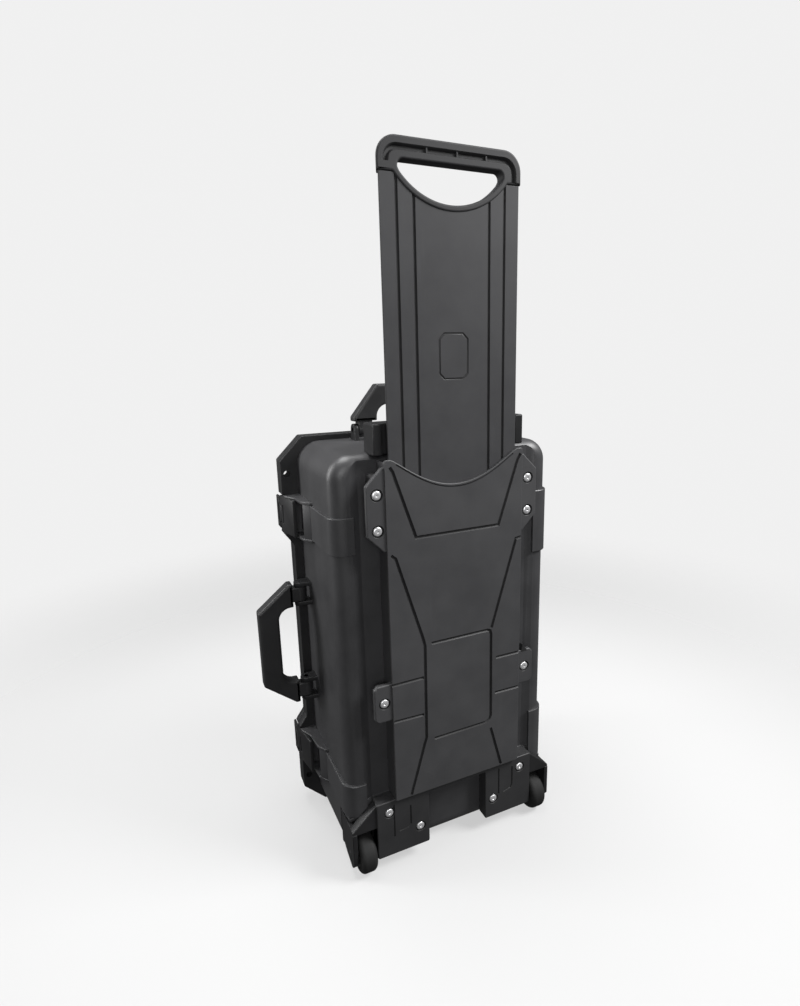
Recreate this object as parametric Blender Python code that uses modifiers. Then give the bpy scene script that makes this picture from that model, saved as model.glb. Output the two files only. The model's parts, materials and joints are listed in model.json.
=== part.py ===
"""Wheeled hard equipment case with a pull handle, standing upright on its rim and its two wheels.

Metres, +Z up. X = 0 is the middle plane, -X the latch side and +X the hinge side. The case opens at the
parting plane: the base with the pull handle and the wheels lies towards -Y, the lid towards +Y. The origin
is under the base's rim, at the middle of its lower edge. The pull handle stands extended and both carry
handles stand out.
"""

import math

import bmesh
import bpy
from mathutils import Matrix, Vector

# Driving dimensions
CASE_HEIGHT = 0.559
RIM_WIDTH = 0.351
BASE_DEPTH = 0.178  # parting plane to the outer face of the handle cover
LID_DEPTH = 0.051  # parting plane to the lid's outer face
WALL = 0.004

# Clearances
SEAT = 0.0003  # between pieces that touch
RUN = 0.0004  # between a moving piece and what guides it
REACH = 0.02  # how far a cutter runs past what it cuts
STAGGER = 0.0001  # keeps faces that would share a plane apart
COVER_GAP = 0.0015  # between the handle cover's ends and the pieces beyond them

# Faces round a full turn
PIN_FACES = 12
BORE_FACES = 16
RECESS_FACES = 20
EYE_FACES = 24

# Rim
BASE_RIM = 0.014  # thickness of the base's flange
LID_RIM = 0.011
RIM_CORNER = 0.031
RIM_WAIST = 0.0115  # how far the rim steps back between the latches
RIM_LAND = 0.132  # length of the wide rim at each end of the latch side
RIM_RAMP = 0.016
SIDE_LEDGE = 0.0225  # the rim stands this far out of the side walls
END_LEDGE = 0.007  # and this far out of the end walls
EYE_INSET = 0.0085  # padlock eye, from the rim's side
EYE_FROM_END = 0.049
EYE_R = 0.0045
SHELL_START = 0.002  # the lid's body begins this far off the parting plane, inside its rim

# Shell
BACK_STEP = 0.022  # the cover's face stands this far out of the base's back
DRAFT = 0.0035
CORNER_R = 0.032
BACK_R = 0.018
LID_R = 0.012
INNER_FLOOR = 0.149  # depth of the base's inside
LID_FLOOR = 0.044
CHANNEL_GAP = 0.001  # between the cover's ears and the channel's sides
CHANNEL_SLOPE = 0.012
CHANNEL_LIP = 0.0003
CHANNEL_SINK = 0.004
CHANNEL_END = 0.1

# Bands round the base at the latches
BAND_HEIGHT = 0.046
BAND_PROUD = 0.0025
BAND_GAP = 0.0075  # between a band's end and the wheel bracket

# Seal
SEAL_SIZE = 0.004
SEAL_INSET = 0.0045  # from the inside wall to the seal

# Latches
LATCH_FROM_END = 0.1035
LATCH_WIDTH = 0.05
LATCH_BAY = 0.0075  # the rim is cut back this far for a latch
LATCH_SIDE_GAP = 0.0015
CLAMP_WIDTH = 0.044
CLAMP_EYE = 0.024
CLAMP_IN = 0.005  # the clamp's pin, from the bottom of the latch's bay
CLAMP_TAIL = 0.002  # the strap runs this far past the lever's eye
CLAMP_EDGE = 0.002
CLAMP_SHOULDER = 0.005
CLAMP_SLOT = (-0.001, 0.0125)  # ahead of the parting plane, from and to
CLAMP_SLOT_DEPTH = 0.0022
LID_LUG_THICK = 0.005
STRAP = 0.0035
EYE_OUTER = 0.004
PIN_R = 0.0017
LATCH_TURN = 0.0055  # the lever's pin, behind the parting plane
CLAMP_TURN = 0.0175  # the clamp's pin, ahead of it
LEVER_LENGTH = 0.0425
LEVER_DROP = 0.0085  # the lever's free end slopes inwards this much
LEVER_IN = 0.0015  # the lever's pin, from the rim's side
LEVER_LIP = 0.004
LEVER_STEP = 0.001
LEVER_SLOT = (0.0125, 0.024)  # behind the parting plane, from and to
LEVER_SLOT_DEPTH = 0.0025
LEVER_PIN_IN = 0.002  # the lever's pin ends this far inside each of its sides
SLOT_PITCH = 0.0155
CLAMP_SLOT_WIDTH = 0.007
LEVER_SLOT_WIDTH = 0.006
BOSS_PROUD = 0.011  # the seat under a lever, out of the side wall
BOSS_SLOPE = 0.002
BOSS_LENGTH = 0.08
POCKET_NEAR = 0.03
POCKET_FAR = 0.066
POCKET_HEIGHT = 0.042
POCKET_SKIN = 0.005

# Hinges
KNUCKLE_R = 0.006
KNUCKLE_GAP = 0.0015  # between a knuckle and the rim's edge
KNUCKLE_LENGTH = 0.016
KNUCKLES = 3
ARM_OFF = 0.0015  # a knuckle's arm stays this far off the parting plane
ARM_INSET = 0.001  # and this far inside the rim's face
ARM_SHARE = 0.98  # of the knuckle's radius that its arm covers
HINGE_PIN_R = 0.0025

# Carry handles
PIVOT_DEPTH = 0.0365  # behind the parting plane
HANDLE_THICK = 0.019
HANDLE_BAR = 0.027
HANDLE_REACH = 0.059
HANDLE_LEG = 0.033
FOLD_GAP = 0.0035  # between the folded handle and the wall
SIDE_HANDLE_LENGTH = 0.174
TOP_HANDLE_LENGTH = 0.16
HANDLE_TAPER = 0.034  # the outer corners are cut back this far at each end
LUG_THICK = 0.006
LUG_R = 0.008
LUG_SPREAD = 0.002  # a lug's foot is this much wider than its eye on each side
HANDLE_PIN_R = 0.003
NECK_GAP = 0.001  # between a lug and the leg beside it
SHOULDER_GAP = 0.003  # between a lug's eye and the handle's shoulder
SHOULDER_STEP = 0.002
SHOULDER_SIDE = 0.006
OPENING_R = 0.016

# Pull handle
PLATE_IN = 0.002  # the plate is narrower than the grip by this on each side
PLATE_THICK = 0.012
PLATE_EDGE = 0.0035  # thickness along the plate's sides
PLATE_RELIEF = 0.0052  # behind that edge the plate is narrower by this on each side
GRIP_WIDTH = 0.174
GRIP_THICK = 0.0138
GRIP_HEIGHT = 0.0345  # from the grip's top to the step in its sides
GRIP_CORNER = 0.022
GRIP_ABOVE = 0.004  # the stowed grip stands this far above the rim
OVERLAP = 0.08  # the extended plate stays this far inside the case
STOP_HEIGHT = 0.169  # the stowed plate's lower end
EYE_TOP_DROP = 0.022  # grip's top to the top of the hand opening
EYE_DEPTH = 0.039
EYE_SIDE = 0.02  # between the hand opening's ends and the grip's sides
EYE_LIP = 0.007
EYE_ROUND = 0.006
EYE_ROUND_BACK = 0.0036  # the round ends' centres lie this far inside the arc's ends
EYE_END = 0.004  # the arc rises this much less than the opening is deep

# Handle cover
COVER_SKIN = 0.0045
COVER_SIDE = 0.005
COVER_SIDE_GAP = 0.0003
COVER_TOP_DROP = 0.016
COVER_FOOT = 0.103
COVER_DIP = 0.035
COVER_SHOULDER = 0.0083  # level part of the top edge at each end of the dip
COVER_DIP_POWER = 1.2
DIP_STEPS = 12
EAR_OUT = 0.0227
EAR_BACK = 0.002  # the ears lie this far below the cover's face
EAR_TOP_DROP = 0.024
EAR_HEIGHT = 0.099
EAR_CORNER = 0.02
EAR_FLAT = 0.04  # shortest straight side of an ear
EAR_SCREW_DROPS = (0.026, 0.068)
FOOT_EAR_BASE = 0.219
FOOT_EAR_HEIGHT = 0.049
EAR_SCREW_IN = 0.0097

# Collar behind the plate at the case's top
COLLAR_ABOVE = 0.024
COLLAR_DEPTH = 0.026
COLLAR_ARM = 0.0122
COLLAR_CLASP = 0.0075

# Screws
HEAD_R = 0.0045
HEAD_HEIGHT = 0.0025
HEAD_CROWN = ((0.0, 0.0), (0.55, 0.0002), (0.88, 0.0008), (1.0, 0.0017))  # share of the radius, drop
SHANK_R = 0.0021
SHANK_TIP = 0.001
RECESS_R = 0.0062
RECESS_DEPTH = 0.0025
PILOT_DEPTH = 0.009  # into the base's inside, where a boss holds it
BOSS_R = 0.0048
BOSS_TIP = 0.0025

# Wheel bracket and wheels
WHEEL_R = 0.026
WHEEL_WIDTH = 0.023
TREAD_ROUND = 0.007
HUB_R = 0.0165
HUB_RIM = 0.0035
HUB_INSET = 0.0005  # the hub's rim stays this far inside the tyre's sides
HUB_DISH = 0.004
HUB_BOSS_R = 0.0062
AXLE_R = 0.003
AXLE_IN = 0.0005  # an axle ends this far inside its fork's faces
WHEEL_GAP = 0.002
CHEEK = 0.0043
GUARD = 0.006
WHEEL_BACK = 0.0035  # the tread stands this far out of the cover's face
BRACKET_BACK = 0.005  # the bracket's face lies this far below the cover's
BRACKET_STRIP = 0.0065
BRACKET_GAP = 0.0435
BRACKET_FOOT = 0.02
INNER_SCREW = (0.013, 0.028)  # from the foot's inner edge and up from its lower edge
OUTER_SCREW = (0.0175, 0.0645)  # the same from its outer edge
ROOF = 0.0045
ROOF_IN = 0.003  # the roof lies this far below the bracket's face
GABLE_IN = 0.002
FORK_IN = 0.001
FORK_FRONT = 0.007  # the fork reaches this far past the wheel
FORK_ROUND = 0.003
FORK_STEP = 0.004
FORK_TOE = 0.008  # behind the axle
FORK_HEEL = 0.012  # ahead of the axle
FORK_HEEL_RISE = 0.006
FORK_FRONT_RISE = 0.016
WHEEL_ROOM = 0.014  # between a wheel and its roof
WELL_GAP = 0.0025
WELL_SIDE = 0.0005
WELL_FRONT = 0.008
GUARD_FOOT = 0.012
GUARD_OUT = 0.001

PARTING = BASE_RIM / 2
MIDDLE = CASE_HEIGHT / 2
RIM_HALF = RIM_WIDTH / 2
WAIST_X = RIM_HALF - RIM_WAIST
SHELL_HALF = RIM_HALF - SIDE_LEDGE
BACK_DEPTH = BASE_DEPTH - BACK_STEP
HINGE_X = WAIST_X + KNUCKLE_GAP + KNUCKLE_R
BAY_X = RIM_HALF - LATCH_BAY
LEVER_X = RIM_HALF - LEVER_IN
CLAMP_X = BAY_X - CLAMP_IN
PLATE_FACE = BASE_DEPTH - COVER_SKIN - RUN
GRIP_TOP = CASE_HEIGHT + GRIP_ABOVE + (CASE_HEIGHT - OVERLAP - STOP_HEIGHT)
PLATE_HALF = GRIP_WIDTH / 2 - PLATE_IN
EYE_HALF = GRIP_WIDTH / 2 - EYE_SIDE
GUIDE_HALF = GRIP_WIDTH / 2 + COVER_SIDE_GAP
COVER_HALF = GUIDE_HALF + COVER_SIDE
COVER_DIP_HALF = COVER_HALF - COVER_SHOULDER
CHANNEL_HALF = COVER_HALF + EAR_OUT + CHANNEL_GAP
CHANNEL_EDGE = CHANNEL_HALF + CHANNEL_SLOPE
FLOOR_DEPTH = BACK_DEPTH - CHANNEL_SINK
BRACKET_FACE = BASE_DEPTH - BRACKET_BACK
GUARD_X = SHELL_HALF - DRAFT + GUARD_OUT
WHEEL_X = GUARD_X - GUARD - WHEEL_GAP - WHEEL_WIDTH / 2
CHEEK_X = WHEEL_X - WHEEL_WIDTH / 2 - WHEEL_GAP
FORK_X = CHEEK_X - CHEEK
BAND_INNER_X = CHEEK_X + BAND_GAP
AXLE_DEPTH = BASE_DEPTH + WHEEL_BACK - WHEEL_R
FORK_DEPTH = AXLE_DEPTH - WHEEL_R - FORK_FRONT
ROOF_Z = 2 * WHEEL_R + WHEEL_ROOM


def behind(depth):
    """Y at this depth from the parting plane, towards the handle cover."""
    return PARTING - depth


def ahead(depth):
    return PARTING + depth


def clear_scene():
    for item in list(bpy.data.objects):
        bpy.data.objects.remove(item, do_unlink=True)


def new_collection(name):
    made = bpy.data.collections.new(name)
    bpy.context.scene.collection.children.link(made)
    return made


clear_scene()
case = new_collection("hard_equipment_case")
helpers = new_collection("cutters")


# Finishes: colour, roughness, metallic
SHELL_BLACK = ((0.034, 0.034, 0.036), 0.5, 0.0)
TRIM_BLACK = ((0.012, 0.012, 0.013), 0.5, 0.0)
RUBBER_BLACK = ((0.01, 0.01, 0.01), 0.75, 0.0)
BRIGHT_STEEL = ((0.62, 0.62, 0.64), 0.3, 1.0)
SHARP_ANGLE = math.radians(35)


def material_of(name, finish):
    colour, roughness, metallic = finish
    made = bpy.data.materials.new(name)
    made.use_nodes = True
    shader = made.node_tree.nodes["Principled BSDF"]
    shader.inputs["Base Color"].default_value = (*colour, 1.0)
    shader.inputs["Roughness"].default_value = roughness
    shader.inputs["Metallic"].default_value = metallic
    return made


def keep(item, name, finish):
    """Names a finished piece, gives it its material and shades it smooth up to its sharp edges."""
    item.name = name
    helpers.objects.unlink(item)
    case.objects.link(item)
    item.hide_render = False
    item.display_type = "TEXTURED"
    item.data.materials.clear()
    item.data.materials.append(material_of(name, finish))
    item.data.shade_smooth()
    item.data.set_sharp_from_angle(angle=SHARP_ANGLE)
    return item


def helper(name, mesh):
    item = bpy.data.objects.new(name, mesh)
    helpers.objects.link(item)
    item.hide_render = True
    item.display_type = "WIRE"
    return item


def combine(item, other, operation):
    modifier = item.modifiers.new(operation.lower(), "BOOLEAN")
    modifier.operation = operation
    modifier.solver = "EXACT"
    modifier.object = other
    return item


def cut(item, *others):
    for other in others:
        combine(item, other, "DIFFERENCE")
    return item


def join(item, *others):
    for other in others:
        combine(item, other, "UNION")
    return item


def gathered(name, items):
    """Pieces that stand apart from each other in one mesh, for a single Boolean."""
    mesh = bpy.data.meshes.new(name)
    shape = bmesh.new()
    for item in items:
        shape.from_mesh(item.data)
    shape.to_mesh(mesh)
    shape.free()
    return helper(name, mesh)


def arc(centre, radius, start, end, steps):
    """Points of an arc, its angles in degrees."""
    angles = [math.radians(start + (end - start) * i / steps) for i in range(steps + 1)]
    return [(centre[0] + radius * math.cos(a), centre[1] + radius * math.sin(a)) for a in angles]


def rounded(points, radius, steps=4):
    """An outline with every corner rounded; radius is one value, or one for each corner."""
    radii = radius if isinstance(radius, (list, tuple)) else [radius] * len(points)
    made = []
    for i, corner in enumerate(points):
        here = Vector(corner)
        before = (Vector(points[i - 1]) - here).normalized()
        after = (Vector(points[(i + 1) % len(points)]) - here).normalized()
        if radii[i] <= 0:
            made.append(corner)
            continue
        half = before.angle(after) / 2
        centre = here + (before + after).normalized() * (radii[i] / math.sin(half))
        first = here + before * (radii[i] / math.tan(half)) - centre
        last = here + after * (radii[i] / math.tan(half)) - centre
        turn = math.atan2(first.x * last.y - first.y * last.x, first.dot(last))
        for step in range(steps + 1):
            angle = math.atan2(first.y, first.x) + turn * step / steps
            made.append((centre.x + radii[i] * math.cos(angle), centre.y + radii[i] * math.sin(angle)))
    return made


TO_AXIS = {
    "Z": Matrix.Identity(4),
    "Y": Matrix.Rotation(math.radians(90), 4, "X"),
    "X": Matrix(((0, 0, 1, 0), (1, 0, 0, 0), (0, 1, 0, 0), (0, 0, 0, 1))),
}


def slab(name, outlines, axis, low, high):
    """A flat outline (with any holes after it) drawn square to an axis, extruded from low to high along it.

    The outline is in (X, Z) for axis Y, in (Y, Z) for axis X and in (X, Y) for axis Z.
    """
    curve = bpy.data.curves.new(name, "CURVE")
    curve.dimensions = "2D"
    curve.fill_mode = "BOTH"
    curve.extrude = (high - low) / 2
    for outline in outlines if isinstance(outlines[0], list) else [outlines]:
        spline = curve.splines.new("POLY")
        spline.points.add(len(outline) - 1)
        for point, (x, y) in zip(spline.points, outline):
            point.co = (x, y, 0.0, 1.0)
        spline.use_cyclic_u = True
    drawn = bpy.data.objects.new(name, curve)
    bpy.context.scene.collection.objects.link(drawn)
    bpy.context.view_layer.update()
    mesh = bpy.data.meshes.new_from_object(drawn.evaluated_get(bpy.context.evaluated_depsgraph_get()))
    bpy.data.objects.remove(drawn, do_unlink=True)
    shape = bmesh.new()
    shape.from_mesh(mesh)
    bmesh.ops.remove_doubles(shape, verts=shape.verts, dist=1e-6)
    bmesh.ops.recalc_face_normals(shape, faces=shape.faces)
    shape.to_mesh(mesh)
    shape.free()
    offset = {"X": Vector((1, 0, 0)), "Y": Vector((0, 1, 0)), "Z": Vector((0, 0, 1))}[axis]
    mesh.transform(Matrix.Translation(offset * (low + high) / 2) @ TO_AXIS[axis])
    return helper(name, mesh)


def block(name, low, high, radius=0.0):
    """A box between two corners, its edges along Z rounded."""
    (x0, y0, z0), (x1, y1, z1) = low, high
    outline = [(x0, y0), (x1, y0), (x1, y1), (x0, y1)]
    return slab(name, rounded(outline, radius) if radius else outline, "Z", z0, z1)


def cylinder(name, centre, axis, radius, length, segments=EYE_FACES):
    mesh = bpy.data.meshes.new(name)
    shape = bmesh.new()
    bmesh.ops.create_cone(
        shape, cap_ends=True, segments=segments, radius1=radius, radius2=radius, depth=length
    )
    shape.to_mesh(mesh)
    shape.free()
    mesh.transform(Matrix.Translation(Vector(centre)) @ TO_AXIS[axis])
    return helper(name, mesh)


def turned(name, profile, centre, turn, steps=32, closed=False):
    """A profile of (radius, height) points turned about the piece's own Z, then set at its place by turn."""
    mesh = bpy.data.meshes.new(name)
    count = len(profile)
    edges = [(i, (i + 1) % count) for i in range(count if closed else count - 1)]
    mesh.from_pydata([(r, 0.0, z) for r, z in profile], edges, [])
    item = helper(name, mesh)
    screw = item.modifiers.new("turned", "SCREW")
    screw.steps = screw.render_steps = steps
    screw.use_merge_vertices = True
    screw.merge_threshold = 1e-5
    item.location = centre
    item.rotation_euler = turn
    return item


def tapered_box(name, near, far, corner, edge, segments=5):
    """A tray between two Y planes: each end is (half width, lowest, highest, y). Its long edges are rounded
    by corner, and its edges at the far end by edge."""
    mesh = bpy.data.meshes.new(name)
    shape = bmesh.new()
    bmesh.ops.create_cube(shape, size=2.0)
    towards = math.copysign(1.0, far[3] - near[3])
    for vert in shape.verts:
        half, low, high, y = far if vert.co.y * towards > 0 else near
        vert.co = (vert.co.x * half, y, high if vert.co.z > 0 else low)
    lengthwise = [e for e in shape.edges if abs(e.verts[0].co.y - e.verts[1].co.y) > abs(far[3] - near[3]) / 2]
    bmesh.ops.bevel(shape, geom=lengthwise, offset=corner, segments=segments, profile=0.5, affect="EDGES")
    at_far = [e for e in shape.edges if all(abs(v.co.y - far[3]) < 1e-6 for v in e.verts)]
    bmesh.ops.bevel(shape, geom=at_far, offset=edge, segments=4, profile=0.5, affect="EDGES")
    shape.to_mesh(mesh)
    shape.free()
    return helper(name, mesh)


def pivot(name, place, *items):
    """An empty on a joint's axis, with the pieces that turn or slide with it under it."""
    empty = bpy.data.objects.new(name, None)
    case.objects.link(empty)
    empty.location = place
    empty.empty_display_size = 0.01
    for item in items:
        item.parent = empty
        item.matrix_parent_inverse = Matrix.Translation(-Vector(place))
    return empty


def rim_outline(inset=0.0):
    """The rim's outer edge: wide at both ends of the latch side, stepped back between and on the hinge side."""
    wide, waist = RIM_HALF - inset, WAIST_X - inset
    low, high = inset, CASE_HEIGHT - inset
    land = RIM_LAND + RIM_RAMP
    hinge_corner = RIM_CORNER - RIM_WAIST
    return [
        (-wide + RIM_CORNER, low),
        (waist - hinge_corner, low),
        (waist, low + hinge_corner),
        (waist, high - hinge_corner),
        (waist - hinge_corner, high),
        (-wide + RIM_CORNER, high),
        (-wide, high - RIM_CORNER),
        (-wide, CASE_HEIGHT - RIM_LAND),
        (-waist, CASE_HEIGHT - land),
        (-waist, land),
        (-wide, RIM_LAND),
        (-wide, low + RIM_CORNER),
    ]


def shell_end(depth, total, y, grow=0.0):
    """Half width, lowest and highest of the tapering shell at this depth of total."""
    shrink = DRAFT * depth / total - grow
    return (SHELL_HALF - shrink, END_LEDGE + shrink, CASE_HEIGHT - END_LEDGE - shrink, y)


def base_body(name, grow=0.0):
    return tapered_box(
        name,
        shell_end(0, BACK_DEPTH, behind(BASE_RIM / 2), grow),
        shell_end(BACK_DEPTH, BACK_DEPTH, behind(BACK_DEPTH) - grow, grow),
        CORNER_R,
        BACK_R,
    )


def lid_body(name, depth, shrink=0.0, start=SHELL_START):
    return tapered_box(
        name,
        shell_end(0, LID_DEPTH, ahead(start), -shrink),
        shell_end(LID_DEPTH, LID_DEPTH, ahead(depth), -shrink),
        CORNER_R - shrink,
        LID_R,
    )


LATCH_ROWS = {"upper": CASE_HEIGHT - LATCH_FROM_END, "lower": LATCH_FROM_END}
SIDES = {"left": -1, "right": 1}


def latch_bays(name, z):
    """Cut through both rims for a latch."""
    half = LATCH_WIDTH / 2 + LATCH_SIDE_GAP
    low = (-RIM_HALF - REACH, behind(BASE_RIM) - REACH, z - half)
    return block(name, low, (-BAY_X, ahead(LID_RIM) + REACH, z + half))


def padlock_eyes(name):
    x, length = -RIM_HALF + EYE_INSET, 2 * REACH + BASE_RIM + LID_RIM
    return [
        cylinder(f"{name}_{i}", (x, PARTING, z), "Y", EYE_R, length, BORE_FACES)
        for i, z in enumerate((EYE_FROM_END, CASE_HEIGHT - EYE_FROM_END))
    ]


def band(name, z, side):
    """A raised band over one side wall and round onto the back, at a latch's height."""
    out = SHELL_HALF + BAND_PROUD
    back = behind(BACK_DEPTH + BAND_PROUD)
    outline = rounded(
        [
            (side * BAND_INNER_X, behind(BACK_DEPTH - BACK_R)),
            (side * BAND_INNER_X, back),
            (side * (out - DRAFT), back),
            (side * out, behind(BASE_RIM / 2)),
            (side * (out - 2 * WALL), behind(BASE_RIM / 2)),
            (side * (out - 2 * WALL), behind(BACK_DEPTH - BACK_R)),
        ],
        [0, 0, BACK_R, 0, 0, 0],
    )
    return slab(name, outline, "Z", z - BAND_HEIGHT / 2, z + BAND_HEIGHT / 2)


def latch_boss(name, z):
    """The raised seat under a latch lever, with a pocket for the fingers."""
    half = LATCH_WIDTH / 2 + LATCH_SIDE_GAP
    top = SHELL_HALF + BOSS_PROUD
    outline = [
        (-SHELL_HALF + WALL, behind(BASE_RIM / 2)),
        (-top, behind(BASE_RIM / 2)),
        (-top + BOSS_SLOPE, behind(POCKET_FAR)),
        (-SHELL_HALF, behind(BOSS_LENGTH)),
        (-SHELL_HALF + WALL, behind(BOSS_LENGTH)),
    ]
    return slab(name, outline, "Z", z - half, z + half)


def latch_pocket(name, z):
    return block(
        name,
        (-RIM_HALF - REACH, behind(POCKET_FAR), z - POCKET_HEIGHT / 2),
        (-SHELL_HALF - POCKET_SKIN + WALL, behind(POCKET_NEAR), z + POCKET_HEIGHT / 2),
    )


HANDLE_LUGS = (HANDLE_LEG - LUG_THICK / 2, LUG_THICK / 2)
SIDE_PIVOT = (-SHELL_HALF - HANDLE_THICK / 2 - FOLD_GAP, behind(PIVOT_DEPTH))
TOP_PIVOT = (behind(PIVOT_DEPTH), CASE_HEIGHT - END_LEDGE + HANDLE_THICK / 2 + FOLD_GAP)


def lug_centres(length):
    """Where the lugs of a carry handle stand along its length, from its middle."""
    outer = length / 2
    return [side * (outer - inset) for side in (-1, 1) for inset in HANDLE_LUGS]


def side_lugs():
    made = []
    x, y = SIDE_PIVOT
    outline = [
        (-SHELL_HALF + WALL / 2, y - LUG_R - LUG_SPREAD),
        *reversed(arc((x, y), LUG_R, 90, 270, steps=8)),
        (-SHELL_HALF + WALL / 2, y + LUG_R + LUG_SPREAD),
    ]
    for i, offset in enumerate(lug_centres(SIDE_HANDLE_LENGTH)):
        low = MIDDLE + offset - LUG_THICK / 2
        made.append(slab(f"side_lug_{i}", outline, "Z", low, low + LUG_THICK))
    return gathered("side_lugs", made)


def top_lugs():
    made = []
    y, z = TOP_PIVOT
    wall = CASE_HEIGHT - END_LEDGE - WALL / 2
    foot = LUG_R + LUG_SPREAD
    outline = [(y - foot, wall), (y + foot, wall), *arc((y, z), LUG_R, 0, 180, steps=8)]
    for i, offset in enumerate(lug_centres(TOP_HANDLE_LENGTH)):
        made.append(slab(f"top_lug_{i}", outline, "X", offset - LUG_THICK / 2, offset + LUG_THICK / 2))
    return gathered("top_lugs", made)


def knuckle_places(z, on_lid):
    """Centres of a hinge's knuckles along Z: the base has the outer ones, the lid the inner one."""
    pitch = KNUCKLE_LENGTH + 2 * RUN
    places = [z + (i - (KNUCKLES - 1) / 2) * pitch for i in range(KNUCKLES)]
    return places[1::2] if on_lid else places[::2]


def knuckles(name, z, on_lid):
    """The arms and the eyes of a hinge's knuckles on one half of the case."""
    arms, eyes = [], []
    side = 1 if on_lid else -1
    near, far = ARM_OFF, (LID_RIM if on_lid else BASE_RIM) - ARM_INSET
    for i, place in enumerate(knuckle_places(z, on_lid)):
        low, high = place - KNUCKLE_LENGTH / 2, place + KNUCKLE_LENGTH / 2
        arm = [
            (WAIST_X - WALL, PARTING + side * near),
            (HINGE_X, PARTING + side * near),
            (HINGE_X, PARTING + side * KNUCKLE_R * ARM_SHARE),
            (WAIST_X - WALL, PARTING + side * far),
        ]
        arms.append(slab(f"{name}_arm_{i}", arm, "Z", low, high))
        centre = (HINGE_X, PARTING, place)
        eyes.append(cylinder(f"{name}_eye_{i}", centre, "Z", KNUCKLE_R, KNUCKLE_LENGTH - STAGGER))
    return arms, eyes


EAR_ROWS = (
    (CASE_HEIGHT - EAR_TOP_DROP - EAR_HEIGHT, EAR_HEIGHT, EAR_SCREW_DROPS),
    (FOOT_EAR_BASE, FOOT_EAR_HEIGHT, (FOOT_EAR_HEIGHT / 2,)),
)
COVER_SCREWS = [
    (f"{label}_{row + 1}", side * (COVER_HALF + EAR_SCREW_IN), low + drop)
    for side, label in ((-1, "left"), (1, "right"))
    for row, (low, drop) in enumerate((low, drop) for low, _, drops in EAR_ROWS for drop in drops)
]
BRACKET_SCREW_PLACES = (
    (BRACKET_GAP + INNER_SCREW[0], BRACKET_FOOT + INNER_SCREW[1]),
    (CHEEK_X - OUTER_SCREW[0], BRACKET_FOOT + OUTER_SCREW[1]),
)
BRACKET_SCREWS = [
    (f"{label}_{row + 1}", side * x, z)
    for side, label in ((-1, "left"), (1, "right"))
    for row, (x, z) in enumerate(BRACKET_SCREW_PLACES)
]


def screw_holes(prefix, places, face, pilot_end):
    """For each screw: the recess round its head, and the hole for its shank, which ends blind in the base."""
    recesses, shanks = [], []
    for label, x, z in places:
        y = behind(face - RECESS_DEPTH / 2 + REACH / 2)
        length = RECESS_DEPTH + REACH
        recesses.append(cylinder(f"{prefix}_recess_{label}", (x, y, z), "Y", RECESS_R, length, RECESS_FACES))
        length = face - pilot_end + REACH
        y = behind((face + pilot_end + REACH) / 2)
        shanks.append(cylinder(f"{prefix}_hole_{label}", (x, y, z), "Y", SHANK_R + RUN, length, PIN_FACES))
    return gathered(f"{prefix}_recesses", recesses), gathered(f"{prefix}_shanks", shanks)


PILOT_END = INNER_FLOOR - PILOT_DEPTH
COVER_RECESSES, COVER_SHANKS = screw_holes("cover", COVER_SCREWS, BASE_DEPTH - EAR_BACK, PILOT_END)
BRACKET_RECESSES, BRACKET_SHANKS = screw_holes("bracket", BRACKET_SCREWS, BRACKET_FACE, PILOT_END)


def wheel_wells(name, grow=0.0):
    made = []
    inner = FORK_X - WELL_SIDE - grow
    top = ROOF_Z + ROOF + WELL_GAP + grow
    near = AXLE_DEPTH - WHEEL_R - WELL_GAP - WELL_FRONT - grow
    for label, side in SIDES.items():
        x0, x1 = sorted((side * inner, side * (SHELL_HALF + REACH)))
        low = (x0, behind(BASE_DEPTH + REACH), -REACH)
        made.append(block(f"{name}_{label}", low, (x1, behind(near), top)))
    return gathered(name, made)


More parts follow.
